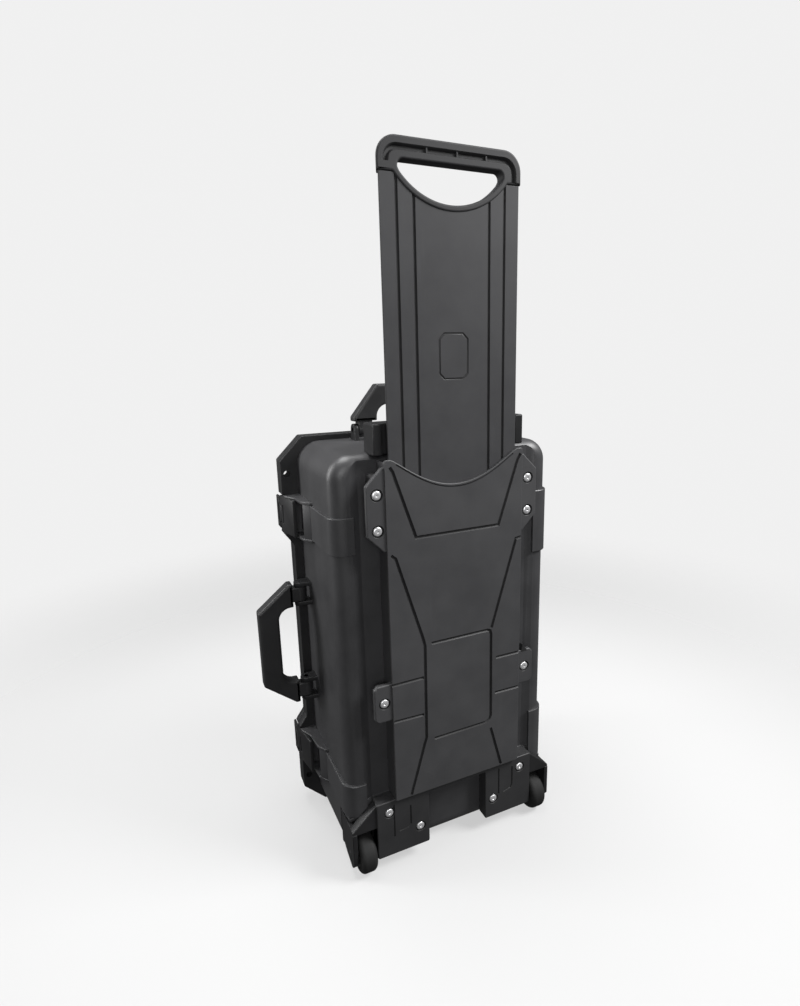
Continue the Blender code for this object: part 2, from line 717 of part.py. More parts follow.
def build_base_shell():
    body = base_body("base_shell")
    rim = slab("base_rim", rim_outline(), "Y", behind(BASE_RIM), behind(SEAT / 2))
    bands, seats, pockets, bays, arms, eyes = [], [], [], [], [], []
    for row, z in LATCH_ROWS.items():
        bands += [band(f"band_{row}_{label}", z, side) for label, side in SIDES.items()]
        seats.append(latch_boss(f"latch_boss_{row}", z))
        pockets.append(latch_pocket(f"latch_pocket_{row}", z))
        bays.append(latch_bays(f"base_bay_{row}", z))
        row_arms, row_eyes = knuckles(f"base_knuckle_{row}", z, on_lid=False)
        arms += row_arms
        eyes += row_eyes
    join(body, rim, gathered("bands", bands), gathered("latch_seats", seats))

    channel = [
        (-CHANNEL_EDGE, behind(BACK_DEPTH + CHANNEL_LIP)),
        (-CHANNEL_HALF, behind(FLOOR_DEPTH)),
        (CHANNEL_HALF, behind(FLOOR_DEPTH)),
        (CHANNEL_EDGE, behind(BACK_DEPTH + CHANNEL_LIP)),
        (CHANNEL_EDGE, behind(BACK_DEPTH + REACH)),
        (-CHANNEL_EDGE, behind(BACK_DEPTH + REACH)),
    ]
    cut(body, slab("channel", channel, "Z", CHANNEL_END, CASE_HEIGHT + REACH))
    cut(body, wheel_wells("wheel_well"), gathered("pockets", pockets), gathered("base_bays", bays))

    cavity = tapered_box(
        "base_cavity",
        shell_end(0, BACK_DEPTH, behind(-REACH), -WALL),
        shell_end(BACK_DEPTH, BACK_DEPTH, behind(INNER_FLOOR), -WALL),
        CORNER_R - WALL,
        BACK_R / 2,
    )
    cut(cavity, wheel_wells("well_wall", WALL))
    cut(body, cavity)
    bosses = []
    for label, x, z in COVER_SCREWS + BRACKET_SCREWS:
        near, far = PILOT_END - BOSS_TIP, INNER_FLOOR + WALL / 4
        place = (x, behind((near + far) / 2), z)
        bosses.append(cylinder(f"screw_boss_{label}", place, "Y", BOSS_R, far - near, BORE_FACES))
    join(body, gathered("screw_bosses", bosses), side_lugs(), top_lugs())
    join(body, gathered("base_arms", arms), gathered("base_eyes", eyes))
    bore, (x, y) = HANDLE_PIN_R + RUN, SIDE_PIVOT
    holes = [cylinder("side_pin_bore", (x, y, MIDDLE), "Z", bore, SIDE_HANDLE_LENGTH + REACH, BORE_FACES)]
    holes.append(cylinder("top_pin_bore", (0, *TOP_PIVOT), "X", bore, TOP_HANDLE_LENGTH + REACH, BORE_FACES))
    place = (HINGE_X, PARTING, MIDDLE)
    holes.append(cylinder("hinge_bore", place, "Z", HINGE_PIN_R + RUN, CASE_HEIGHT, BORE_FACES))
    holes += padlock_eyes("base_eye")
    cut(body, gathered("base_holes", [*holes, COVER_SHANKS, BRACKET_SHANKS]))
    keep(body, "base_shell", SHELL_BLACK)


def seal_outline(offset):
    """A rounded rectangle round the mouth of the case."""
    half = SHELL_HALF - WALL + SEAL_INSET + offset
    low = END_LEDGE + WALL - SEAL_INSET - offset
    corners = [(-half, low), (half, low), (half, CASE_HEIGHT - low), (-half, CASE_HEIGHT - low)]
    return rounded(corners, CORNER_R + offset, steps=6)


def build_lid():
    body = lid_body("lid_shell", LID_DEPTH)
    rim = slab("lid_rim", rim_outline(), "Y", ahead(SEAT / 2), ahead(LID_RIM))
    join(body, rim)
    arms, eyes, lugs, bays, lug_bores = [], [], [], [], []
    for row, z in LATCH_ROWS.items():
        bays.append(latch_bays(f"lid_bay_{row}", z))
        row_arms, row_eyes = knuckles(f"lid_knuckle_{row}", z, on_lid=True)
        arms += row_arms
        eyes += row_eyes
        place, length = (-CLAMP_X, ahead(CLAMP_TURN), z), CLAMP_WIDTH + REACH
        lug_bores.append(cylinder(f"lid_lug_bore_{row}", place, "Z", PIN_R + RUN, length, PIN_FACES))
        for side in (-1, 1):
            near = CLAMP_EYE / 2 + RUN
            low, high = sorted((z + side * near, z + side * (near + LID_LUG_THICK)))
            outline = [
                (-SHELL_HALF + WALL, ahead(LID_RIM / 2)),
                (-SHELL_HALF + WALL, ahead(CLAMP_TURN + EYE_OUTER)),
                *arc((-CLAMP_X, ahead(CLAMP_TURN)), EYE_OUTER, 90, 180, steps=5),
                (-CLAMP_X - EYE_OUTER, ahead(LID_RIM / 2)),
            ]
            lugs.append(slab(f"lid_lug_{row}_{side}", outline, "Z", low, high))
    cut(body, gathered("lid_bays", bays))
    join(body, gathered("lid_lugs", lugs))
    cut(body, lid_body("lid_cavity", LID_FLOOR, WALL, -REACH))
    groove_outer, groove_inner = seal_outline(SEAL_SIZE / 2 + SEAT), seal_outline(-SEAL_SIZE / 2 - SEAT)
    groove = slab("seal_groove", [groove_outer, groove_inner], "Y", behind(REACH), ahead(SEAL_SIZE + 2 * SEAT))
    cut(body, groove)
    join(body, gathered("lid_arms", arms), gathered("lid_eyes", eyes))
    place = (HINGE_X, PARTING, MIDDLE)
    bore = cylinder("lid_hinge_bore", place, "Z", HINGE_PIN_R + RUN, CASE_HEIGHT, BORE_FACES)
    cut(body, gathered("lid_holes", [bore, *padlock_eyes("lid_eye"), *lug_bores]))
    keep(body, "lid_shell", SHELL_BLACK)

    outlines = [seal_outline(SEAL_SIZE / 2), seal_outline(-SEAL_SIZE / 2)]
    seal = slab("lid_seal", outlines, "Y", ahead(SEAT / 2), ahead(SEAL_SIZE + SEAT))
    keep(seal, "lid_seal", RUBBER_BLACK)


def grip_slots(name, z, low, high, depth, width):
    """Three shallow slots side by side in a latch's outer face, from low to high in Y."""
    outer = -LEVER_X - EYE_OUTER
    slots = []
    for i, at in enumerate((z - SLOT_PITCH, z, z + SLOT_PITCH)):
        near, far = (outer - REACH, low, at - width / 2), (outer + depth, high, at + width / 2)
        slots.append(block(f"{name}_{i}", near, far))
    return gathered(name, slots)


def build_latch(row, z):
    """A clamp that turns on the lid's pin and carries the lever, whose free end lies over the pocket."""
    clamp_at = (-CLAMP_X, ahead(CLAMP_TURN))
    lever_at = (-LEVER_X, behind(LATCH_TURN))
    outer, tail = -LEVER_X - EYE_OUTER, behind(LATCH_TURN - EYE_OUTER - CLAMP_TAIL)
    strap = [
        (outer, tail),
        (outer + STRAP, tail),
        (outer + STRAP, ahead(CLAMP_TURN - EYE_OUTER)),
        (-CLAMP_X, ahead(CLAMP_TURN - EYE_OUTER)),
        *arc(clamp_at, EYE_OUTER, -90, 90, steps=8),
        (outer + CLAMP_SHOULDER, ahead(CLAMP_TURN + EYE_OUTER)),
        (outer, ahead(CLAMP_TURN)),
    ]
    clamp = slab(f"latch_clamp_{row}", strap, "Z", z - CLAMP_EYE / 2, z + CLAMP_EYE / 2)
    wide = [
        (outer, tail),
        (outer + STRAP, tail),
        (outer + STRAP, ahead(CLAMP_TURN + CLAMP_EDGE)),
        (outer + CLAMP_EDGE, ahead(CLAMP_TURN + CLAMP_EDGE)),
        (outer, ahead(CLAMP_TURN)),
    ]
    skirt = slab(f"clamp_skirt_{row}", wide, "Z", z - CLAMP_WIDTH / 2, z + CLAMP_WIDTH / 2)
    neck = [
        (outer, tail + CLAMP_TAIL),
        (outer, behind(LATCH_TURN)),
        *arc(lever_at, EYE_OUTER, 180, 400, steps=10),
        (outer + STRAP, tail + CLAMP_TAIL),
    ]
    eye = slab(f"clamp_neck_{row}", neck, "Z", z - CLAMP_EYE / 2 + RUN, z + CLAMP_EYE / 2 - RUN)
    join(clamp, skirt, eye)
    for place, end in ((clamp_at, "lid"), (lever_at, "lever")):
        bore = cylinder(f"clamp_bore_{end}_{row}", (*place, z), "Z", PIN_R + RUN, 2 * CLAMP_WIDTH, PIN_FACES)
        cut(clamp, bore)
    low, high = map(ahead, CLAMP_SLOT)
    cut(clamp, grip_slots(f"clamp_slots_{row}", z, low, high, CLAMP_SLOT_DEPTH, CLAMP_SLOT_WIDTH))
    keep(clamp, f"latch_clamp_{row}", TRIM_BLACK)

    end_x, end_y = outer + LEVER_DROP, behind(LATCH_TURN + LEVER_LENGTH)
    blade = [
        (outer, behind(LATCH_TURN)),
        (end_x, end_y),
        (end_x + STRAP, end_y),
        (end_x + STRAP, end_y + LEVER_LIP),
        (outer + STRAP + LEVER_STEP, behind(LATCH_TURN + EYE_OUTER + LEVER_STEP)),
        *arc(lever_at, EYE_OUTER, -20, 180, steps=10),
    ]
    lever = slab(f"latch_lever_{row}", blade, "Z", z - LATCH_WIDTH / 2, z + LATCH_WIDTH / 2)
    room = cylinder(f"lever_room_{row}", (*lever_at, z), "Z", EYE_OUTER + 2 * RUN, CLAMP_EYE + 2 * RUN)
    bore = cylinder(f"lever_bore_{row}", (*lever_at, z), "Z", PIN_R + RUN, 2 * LATCH_WIDTH, PIN_FACES)
    near, far = LEVER_SLOT
    slots = grip_slots(f"lever_slots_{row}", z, behind(far), behind(near), LEVER_SLOT_DEPTH, LEVER_SLOT_WIDTH)
    cut(lever, room, bore, slots)
    keep(lever, f"latch_lever_{row}", TRIM_BLACK)

    length = CLAMP_EYE + 2 * (RUN + LID_LUG_THICK)
    lid_pin = cylinder(f"latch_lid_pin_{row}", (*clamp_at, z), "Z", PIN_R, length, PIN_FACES)
    length = LATCH_WIDTH - 2 * LEVER_PIN_IN
    lever_pin = cylinder(f"latch_lever_pin_{row}", (*lever_at, z), "Z", PIN_R, length, PIN_FACES)
    keep(lid_pin, f"latch_lid_pin_{row}", BRIGHT_STEEL)
    keep(lever_pin, f"latch_lever_pin_{row}", BRIGHT_STEEL)
    pivot(f"latch_clamp_{row}_axis", (*clamp_at, z), clamp, lever_pin)
    pivot(f"latch_lever_{row}_axis", (*lever_at, z), lever)


def handle_outline(length):
    """A carry handle, along its length and outwards from its pins: chamfered outer corners, a rounded hand
    opening, and legs that narrow between their lugs."""
    half = length / 2
    inner = half - HANDLE_LEG
    neck_out = half - LUG_THICK - NECK_GAP
    neck_in = inner + LUG_THICK + NECK_GAP
    shoulder = LUG_R + SHOULDER_GAP
    flat = half - HANDLE_TAPER
    grip = HANDLE_REACH - HANDLE_BAR
    right = [
        (half, shoulder + SHOULDER_SIDE),
        (half, shoulder),
        (neck_out, shoulder - SHOULDER_STEP),
        (neck_out, 0.0),
        (neck_in, 0.0),
        (neck_in, shoulder - SHOULDER_STEP),
        (inner, shoulder),
        *arc((inner - OPENING_R, grip - OPENING_R), OPENING_R, 0, 90, steps=5),
    ]
    left = [(-u, v) for u, v in reversed(right)]
    return [*right, *left, (-flat, HANDLE_REACH), (flat, HANDLE_REACH)]


def build_handle(name, length, at, axis, turn):
    """A folding carry handle and its two pins. at is the pin line's place, turn maps the handle's
    (along, outwards, across) onto world axes."""
    half = HANDLE_THICK / 2
    body = slab(name, handle_outline(length), "Z", -half, half)
    body.data.transform(Matrix.Translation(Vector(at)) @ turn)
    centre = sum(HANDLE_LUGS) / 2
    eye_length = HANDLE_LEG - 2 * (LUG_THICK + NECK_GAP + STAGGER)
    bore_length = HANDLE_LEG + REACH / 2
    along = Vector({"X": (1, 0, 0), "Z": (0, 0, 1)}[axis])
    pins = []
    for label, side in zip(("a", "b"), (-1, 1)):
        place = Vector(at) + along * side * (length / 2 - centre)
        join(body, cylinder(f"{name}_eye_{label}", place, axis, LUG_R, eye_length))
        bore = cylinder(f"{name}_bore_{label}", place, axis, HANDLE_PIN_R + RUN, bore_length, BORE_FACES)
        cut(body, bore)
        pin = cylinder(f"{name}_pin_{label}", place, axis, HANDLE_PIN_R, HANDLE_LEG, BORE_FACES)
        pins.append(keep(pin, f"{name}_pin_{label}", BRIGHT_STEEL))
    keep(body, name, TRIM_BLACK)
    pivot(f"{name}_axis", at, body)


def eye_arc_centre():
    """The lower edge of the hand opening is an arc through its two ends and its lowest point."""
    rise = EYE_DEPTH - EYE_END
    radius = (EYE_HALF**2 + rise**2) / (2 * rise)
    return GRIP_TOP - EYE_TOP_DROP - EYE_DEPTH + radius, radius


def grip_lower_edge(offset):
    """The grip's lower edge from the left to the right: straight beside the hand opening, then along it."""
    centre, radius = eye_arc_centre()
    radius += EYE_LIP + offset
    side_z = GRIP_TOP - GRIP_HEIGHT - offset
    reach = math.degrees(math.acos((centre - side_z) / radius))
    return arc((0, centre), radius, 270 - reach, 270 + reach, steps=20)


def build_pull_handle():
    front, back = behind(PLATE_FACE), behind(PLATE_FACE - PLATE_THICK)
    half, low = PLATE_HALF, CASE_HEIGHT - OVERLAP
    side_z = GRIP_TOP - GRIP_HEIGHT - SEAT
    outline = [(-half, low), (half, low), (half, side_z), *reversed(grip_lower_edge(SEAT)), (-half, side_z)]
    plate = slab("pull_handle_plate", outline, "Y", front, back)
    for label, side in SIDES.items():
        near, far = sorted((side * (half - PLATE_RELIEF), side * (half + REACH)))
        relief_low = (near, behind(PLATE_FACE - PLATE_EDGE), low - REACH)
        cut(plate, block(f"plate_relief_{label}", relief_low, (far, back + REACH, GRIP_TOP)))
    keep(plate, "pull_handle_plate", SHELL_BLACK)

    half = GRIP_WIDTH / 2
    side_z = GRIP_TOP - GRIP_HEIGHT
    corners = [(half, side_z), (half, GRIP_TOP), (-half, GRIP_TOP), (-half, side_z)]
    outer = [*rounded(corners, [0, GRIP_CORNER, GRIP_CORNER, 0], steps=6), *grip_lower_edge(0.0)]
    back = behind(PLATE_FACE - GRIP_THICK)
    grip = slab("pull_grip", [outer, eye_outline()], "Y", front, back)
    keep(grip, "pull_grip", SHELL_BLACK)
    pivot("pull_handle_slide_axis", (0, front, low), plate, grip)


def eye_outline():
    """The hand opening: a straight top, rounded ends and an arched lower edge."""
    centre, radius = eye_arc_centre()
    top = GRIP_TOP - EYE_TOP_DROP
    reach = math.degrees(math.acos((centre - top + 2 * EYE_ROUND) / radius))
    lower = arc((0, centre), radius, 270 - reach, 270 + reach, steps=16)
    right = arc((lower[-1][0] - EYE_ROUND_BACK, top - EYE_ROUND), EYE_ROUND, -20, 90, steps=5)
    return [*lower, *right, *[(-x, z) for x, z in reversed(right)]]


def build_cover():
    """The cover over the plate's channel: a tray with a dip in its top edge, and two ears on each side."""
    top = CASE_HEIGHT - COVER_TOP_DROP
    steps = [COVER_DIP_HALF * (1 - i / DIP_STEPS) for i in range(2 * DIP_STEPS + 1)]
    drops = [COVER_DIP * (1 - (x / COVER_DIP_HALF) ** 2) ** COVER_DIP_POWER for x in steps]
    dip_edge = [(x, top - drop) for x, drop in zip(steps, drops)]
    half = COVER_HALF
    outline = [(-half, COVER_FOOT), (half, COVER_FOOT), (half, top), *dip_edge, (-half, top)]
    cover = slab("handle_cover", outline, "Y", behind(BASE_DEPTH), behind(FLOOR_DEPTH + SEAT))
    ears = []
    for label, side in SIDES.items():
        for row, (low, height, _) in enumerate(EAR_ROWS):
            root, out = side * (COVER_HALF - COVER_SIDE / 2), side * (COVER_HALF + EAR_OUT)
            chamfer = min(EAR_CORNER, (height - EAR_FLAT) / 2)
            ear = [
                (root, low),
                (out - side * chamfer, low),
                (out, low + chamfer),
                (out, low + height - chamfer),
                (out - side * chamfer, low + height),
                (root, low + height),
            ]
            near, far = behind(BASE_DEPTH - EAR_BACK), behind(FLOOR_DEPTH + 2 * SEAT)
            ears.append(slab(f"ear_{label}_{row}", ear, "Y", near, far))
    join(cover, gathered("ears", ears))
    foot = COVER_FOOT + COVER_SIDE
    hollow = [(-GUIDE_HALF, foot), (GUIDE_HALF, foot), (GUIDE_HALF, top + REACH), (-GUIDE_HALF, top + REACH)]
    cut(cover, slab("cover_hollow", hollow, "Y", behind(BASE_DEPTH - COVER_SKIN), behind(FLOOR_DEPTH - REACH)))
    cut(cover, COVER_RECESSES, COVER_SHANKS)
    keep(cover, "handle_cover", SHELL_BLACK)


def build_collar():
    """A collar on the base's top edge that backs the plate and clasps its edges."""
    top = CASE_HEIGHT + COLLAR_ABOVE
    low = CASE_HEIGHT - COVER_TOP_DROP + COVER_GAP
    front = PLATE_FACE - GRIP_THICK - 2 * RUN
    out = GUIDE_HALF + RUN + COLLAR_ARM
    body = block("handle_collar", (-out, behind(front), low), (out, behind(front - COLLAR_DEPTH), top))
    for label, side in SIDES.items():
        x0, x1 = sorted((side * (GUIDE_HALF + RUN), side * out))
        near, far = (x0, behind(front + COLLAR_CLASP), low), (x1, behind(front - RUN), top - STAGGER)
        join(body, block(f"collar_arm_{label}", near, far))
    cut(body, base_body("collar_seat", SEAT))
    keep(body, "handle_collar", TRIM_BLACK)


def screw_profile(length):
    """A pan head with its shank below it: heights run down from the head's top."""
    return [
        *((HEAD_R * share, -drop) for share, drop in HEAD_CROWN),
        (HEAD_R, -HEAD_HEIGHT),
        (SHANK_R, -HEAD_HEIGHT),
        (SHANK_R, -length + SHANK_TIP),
        (0.0, -length),
    ]


def build_screws(prefix, places, face):
    top = face - RECESS_DEPTH + SEAT + HEAD_HEIGHT
    for label, x, z in places:
        name = f"{prefix}_screw_{label}"
        turn = (math.radians(90), 0.0, 0.0)
        profile = screw_profile(top - PILOT_END - SEAT)
        screw = turned(name, profile, (x, behind(top), z), turn, steps=16)
        keep(screw, name, BRIGHT_STEEL)


def build_bracket():
    """The wheel bracket: two screwed feet under a strip, and a fork with a roof round each wheel."""
    face, back = behind(BRACKET_FACE), behind(BACK_DEPTH + SEAT)
    top = COVER_FOOT - COVER_GAP
    feet = [
        (-CHEEK_X, top),
        (-CHEEK_X, BRACKET_FOOT),
        (-BRACKET_GAP, BRACKET_FOOT),
        (-BRACKET_GAP, top - BRACKET_STRIP),
        (BRACKET_GAP, top - BRACKET_STRIP),
        (BRACKET_GAP, BRACKET_FOOT),
        (CHEEK_X, BRACKET_FOOT),
        (CHEEK_X, top),
    ]
    bracket = slab("wheel_bracket", feet, "Y", face, back)
    gable_face, gable_back = behind(BRACKET_FACE - GABLE_IN), behind(BACK_DEPTH + BAND_PROUD + SEAT)
    toe, front = behind(BRACKET_FACE - FORK_IN), behind(FORK_DEPTH)
    cheek = rounded(
        [
            (toe, ROOF_Z + ROOF / 2),
            (toe, BRACKET_FOOT + FORK_STEP),
            (behind(AXLE_DEPTH + FORK_TOE), GUARD_FOOT),
            (behind(AXLE_DEPTH - FORK_HEEL), GUARD_FOOT + FORK_HEEL_RISE),
            (front, GUARD_FOOT + FORK_FRONT_RISE),
            (front, ROOF_Z + ROOF / 2),
        ],
        [0, FORK_ROUND, FORK_ROUND, FORK_ROUND, FORK_ROUND, 0],
    )
    for label, side in SIDES.items():
        gable = [
            (side * FORK_X, ROOF_Z),
            (side * GUARD_X, ROOF_Z),
            (side * GUARD_X, ROOF_Z + ROOF),
            (side * CHEEK_X, top - GABLE_IN),
            (side * FORK_X, top - GABLE_IN),
        ]
        join(bracket, slab(f"gable_{label}", gable, "Y", gable_face, gable_back))
        x0, x1 = sorted((side * FORK_X, side * GUARD_X))
        roof = block(f"roof_{label}", (x0, behind(BRACKET_FACE - ROOF_IN), ROOF_Z), (x1, front, ROOF_Z + ROOF))
        inner = slab(f"cheek_{label}", cheek, "X", *sorted((side * FORK_X, side * CHEEK_X)))
        outer = slab(f"guard_{label}", cheek, "X", *sorted((side * (GUARD_X - GUARD), side * GUARD_X)))
        join(bracket, roof, inner, outer)
        place, length = (side * WHEEL_X, behind(AXLE_DEPTH), WHEEL_R), 2 * (GUARD_X - CHEEK_X)
        cut(bracket, cylinder(f"axle_bore_{label}", place, "X", AXLE_R + RUN, length, BORE_FACES))
    cut(bracket, BRACKET_RECESSES, BRACKET_SHANKS)
    keep(bracket, "wheel_bracket", TRIM_BLACK)


def build_wheel(label, side):
    centre = (side * WHEEL_X, behind(AXLE_DEPTH), WHEEL_R)
    turn = (0.0, math.radians(90), 0.0)
    half = WHEEL_WIDTH / 2
    inner = HUB_R + SEAT
    crown = arc((WHEEL_R - TREAD_ROUND, half - TREAD_ROUND), TREAD_ROUND, 90, 0, steps=5)
    tread = [(inner, half), *crown, *[(r, -z) for r, z in reversed(crown)], (inner, -half)]
    tyre = turned(f"wheel_tyre_{label}", tread, centre, turn, steps=40, closed=True)
    keep(tyre, f"wheel_tyre_{label}", RUBBER_BLACK)
    bore = AXLE_R + RUN
    web = half - HUB_DISH
    rim = [
        (bore, half),
        (HUB_BOSS_R, half),
        (HUB_BOSS_R, web),
        (HUB_R - HUB_RIM, web),
        (HUB_R - HUB_RIM, half - HUB_INSET),
        (HUB_R, half - HUB_INSET),
    ]
    rim += [(r, -z) for r, z in reversed(rim)]
    hub = turned(f"wheel_hub_{label}", rim, centre, turn, steps=32, closed=True)
    keep(hub, f"wheel_hub_{label}", TRIM_BLACK)
    length = GUARD_X - FORK_X - 2 * AXLE_IN
    place = (side * (GUARD_X + FORK_X) / 2, *centre[1:])
    axle = cylinder(f"wheel_axle_{label}", place, "X", AXLE_R, length, BORE_FACES)
    keep(axle, f"wheel_axle_{label}", BRIGHT_STEEL)
    pivot(f"wheel_{label}_axis", centre, tyre, hub)


def build_hinge_pins():
    length = KNUCKLES * KNUCKLE_LENGTH + (KNUCKLES - 1) * 2 * RUN
    for row, z in LATCH_ROWS.items():
        pin = cylinder(f"hinge_pin_{row}", (HINGE_X, PARTING, z), "Z", HINGE_PIN_R, length, BORE_FACES)
        keep(pin, f"hinge_pin_{row}", BRIGHT_STEEL)


build_base_shell()
build_lid()
build_hinge_pins()
for latch_row, latch_z in LATCH_ROWS.items():
    build_latch(latch_row, latch_z)
ALONG_Z_OUT_LEFT = Matrix(((0, -1, 0, 0), (0, 0, 1, 0), (-1, 0, 0, 0), (0, 0, 0, 1)))
ALONG_X_OUT_UP = Matrix(((1, 0, 0, 0), (0, 0, -1, 0), (0, 1, 0, 0), (0, 0, 0, 1)))
build_handle("side_handle", SIDE_HANDLE_LENGTH, (*SIDE_PIVOT, MIDDLE), "Z", ALONG_Z_OUT_LEFT)
build_handle("top_handle", TOP_HANDLE_LENGTH, (0.0, *TOP_PIVOT), "X", ALONG_X_OUT_UP)
build_pull_handle()
build_cover()
build_collar()
build_screws("cover", COVER_SCREWS, BASE_DEPTH - EAR_BACK)
build_screws("bracket", BRACKET_SCREWS, BRACKET_FACE)
build_bracket()
for wheel_label, wheel_side in SIDES.items():
    build_wheel(wheel_label, wheel_side)
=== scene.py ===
# Hard equipment case: surfaces, finishes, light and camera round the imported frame.
import json
import math

import bpy
import numpy as np
from mathutils import Matrix, Vector
from mathutils.geometry import tessellate_polygon


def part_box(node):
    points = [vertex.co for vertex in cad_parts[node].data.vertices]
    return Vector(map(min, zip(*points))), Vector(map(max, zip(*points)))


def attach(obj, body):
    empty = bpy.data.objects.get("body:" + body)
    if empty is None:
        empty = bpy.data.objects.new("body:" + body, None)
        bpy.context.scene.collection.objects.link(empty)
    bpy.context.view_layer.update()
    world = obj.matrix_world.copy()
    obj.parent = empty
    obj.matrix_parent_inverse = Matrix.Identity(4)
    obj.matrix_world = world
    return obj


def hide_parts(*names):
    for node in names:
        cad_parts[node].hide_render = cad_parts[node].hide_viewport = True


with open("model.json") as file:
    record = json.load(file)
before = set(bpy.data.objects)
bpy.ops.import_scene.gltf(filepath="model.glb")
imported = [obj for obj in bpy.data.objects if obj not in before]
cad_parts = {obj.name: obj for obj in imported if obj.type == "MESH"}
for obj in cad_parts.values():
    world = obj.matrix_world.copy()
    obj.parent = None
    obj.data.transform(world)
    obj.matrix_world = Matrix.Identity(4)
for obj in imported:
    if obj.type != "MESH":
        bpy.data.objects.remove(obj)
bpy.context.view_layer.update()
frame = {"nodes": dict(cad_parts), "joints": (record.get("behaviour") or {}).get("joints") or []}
mm = 0.001
print("frame loaded")

coverLow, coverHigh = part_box("handle_cover")
plateLow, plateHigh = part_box("pull_handle_plate")
gripLow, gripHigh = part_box("pull_grip")
collarLow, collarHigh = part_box("handle_collar")
bracketLow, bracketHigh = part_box("wheel_bracket")
lidLow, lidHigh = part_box("lid_shell")
caseTop = lidHigh.z
rimHalf = -lidLow.x


def filleted(corners, radius, steps=5):
    # corners joined by straight lines, each rounded by an arc tangent to both:
    # centre = corner + bisector * r / sin(half angle)
    radii = radius if isinstance(radius, (list, tuple)) else [radius] * len(corners)
    points = np.array(corners, float)
    made = []
    for k, r in enumerate(radii):
        here, back, on = points[k], points[k - 1] - points[k], points[(k + 1) % len(points)] - points[k]
        if r <= 0:
            made.append(here[None])
            continue
        back, on = back / np.linalg.norm(back), on / np.linalg.norm(on)
        half = math.acos(max(-1.0, min(1.0, float(back @ on)))) / 2
        centre = here + (back + on) / np.linalg.norm(back + on) * r / math.sin(half)
        start, end = here + back * r / math.tan(half) - centre, here + on * r / math.tan(half) - centre
        sweep = math.atan2(start[0] * end[1] - start[1] * end[0], float(start @ end))
        angle = math.atan2(start[1], start[0]) + sweep * np.linspace(0, 1, steps + 1)
        made.append(centre + r * np.stack([np.cos(angle), np.sin(angle)], 1))
    return np.concatenate(made)


def arcPoints(centre, radius, start, end, steps=12):
    # circle: centre + radius * (cos, sin), the angle in degrees from start to end
    angle = np.radians(np.linspace(start, end, steps + 1))
    return np.stack([centre[0] + radius * np.cos(angle), centre[1] + radius * np.sin(angle)], 1)


def turnedAnticlockwise(loop, wanted=True):
    # twice the area = sum of x * next y - next x * y, above 0 when anticlockwise
    x, y = loop[:, 0], loop[:, 1]
    area = float(np.sum(x * np.roll(y, -1) - np.roll(x, -1) * y))
    return loop if (area > 0) == wanted else loop[::-1]


def roundRect(x0, y0, x1, y1, radius, steps=6):
    # a rectangle between two corners, each corner a quarter circle
    return filleted([(x0, y0), (x1, y0), (x1, y1), (x0, y1)], radius, steps)


def mirrored(loop):
    # x becomes -x, and the order turns round with it
    return (np.array(loop) * [-1, 1])[::-1]


# a shape is (points, quads, triangles)

axisOrder = {"X": (2, 0, 1), "Y": (0, 2, 1), "Z": (0, 1, 2)}


def ringQuads(rings, count, closed=True):
    # quads between ring k and ring k + 1 of count points each
    k, j = np.meshgrid(np.arange(rings - 1), np.arange(count if closed else count - 1), indexing="ij")
    on = (j + 1) % count
    return np.stack([k * count + j, k * count + on, (k + 1) * count + on, (k + 1) * count + j],
                    -1).reshape(-1, 4)


def board(loops, axis, low, high, edge=1 * mm, steps=3):
    # outlines raised from low to high along an axis, every rim rounded: inset = r(1 - sin a), rise = r(1 - cos a)
    loops = loops if np.ndim(loops[0]) == 2 else [loops]
    loops = [turnedAnticlockwise(np.array(loop, float), k == 0) for k, loop in enumerate(loops)]
    angle = np.linspace(0, math.pi / 2, steps + 1)
    inset = np.concatenate([[edge + 0.15 * mm], edge * (1 - np.sin(angle))])
    rise = np.concatenate([[0.0], edge * (1 - np.cos(angle))])
    insets = np.concatenate([inset, inset[::-1]])
    heights = np.concatenate([low + rise, (high - rise)[::-1]])
    points, quads, firstRing, start = [], [], [], 0
    for loop in loops:
        ahead = np.roll(loop, -1, 0) - loop
        ahead /= np.linalg.norm(ahead, axis=1)[:, None]
        normal = np.stack([-ahead[:, 1], ahead[:, 0]], 1)
        before = np.roll(normal, 1, 0)
        mitre = (normal + before) / (1 + np.sum(normal * before, 1))[:, None]
        flat = loop[None] + insets[:, None, None] * mitre[None]
        tall = np.broadcast_to(heights[:, None, None], flat.shape[:2] + (1,))
        points.append(np.concatenate([flat, tall], 2).reshape(-1, 3))
        quads.append(ringQuads(len(insets), len(loop)) + start)
        firstRing.append((start, len(loop)))
        start += len(insets) * len(loop)
    points, quads = np.concatenate(points), np.concatenate(quads)
    ring = np.concatenate([np.arange(s, s + n) for s, n in firstRing])
    last = np.concatenate([np.arange(s, s + n) + (len(insets) - 1) * n for s, n in firstRing])
    cap = np.array(tessellate_polygon([[Vector((*points[i][:2], 0)) for i in range(s, s + n)] for s,
                                       n in firstRing]))
    a, b, c = (points[ring[cap[:, i]]][:, :2] for i in range(3))
    facing = (b[:, 0] - a[:, 0]) * (c[:, 1] - a[:, 1]) - (b[:, 1] - a[:, 1]) * (c[:, 0] - a[:, 0])
    cap = np.where((facing > 0)[:, None], cap, cap[:, ::-1])
    triangles = np.concatenate([ring[cap][:, ::-1], last[cap]])
    points = points[:, axisOrder[axis]]
    if axis == "Y":
        quads, triangles = quads[:, ::-1], triangles[:, ::-1]
    return points, quads, triangles


def together(*shapes):
    # several shapes as one: each one's indices move on by the points before it
    points, quads, triangles, start = [], [], [], 0
    for p, q, t in shapes:
        points.append(p)
        quads.append(q + start)
        triangles.append(t + start)
        start += len(p)
    return np.concatenate(points), np.concatenate(quads), np.concatenate(triangles)


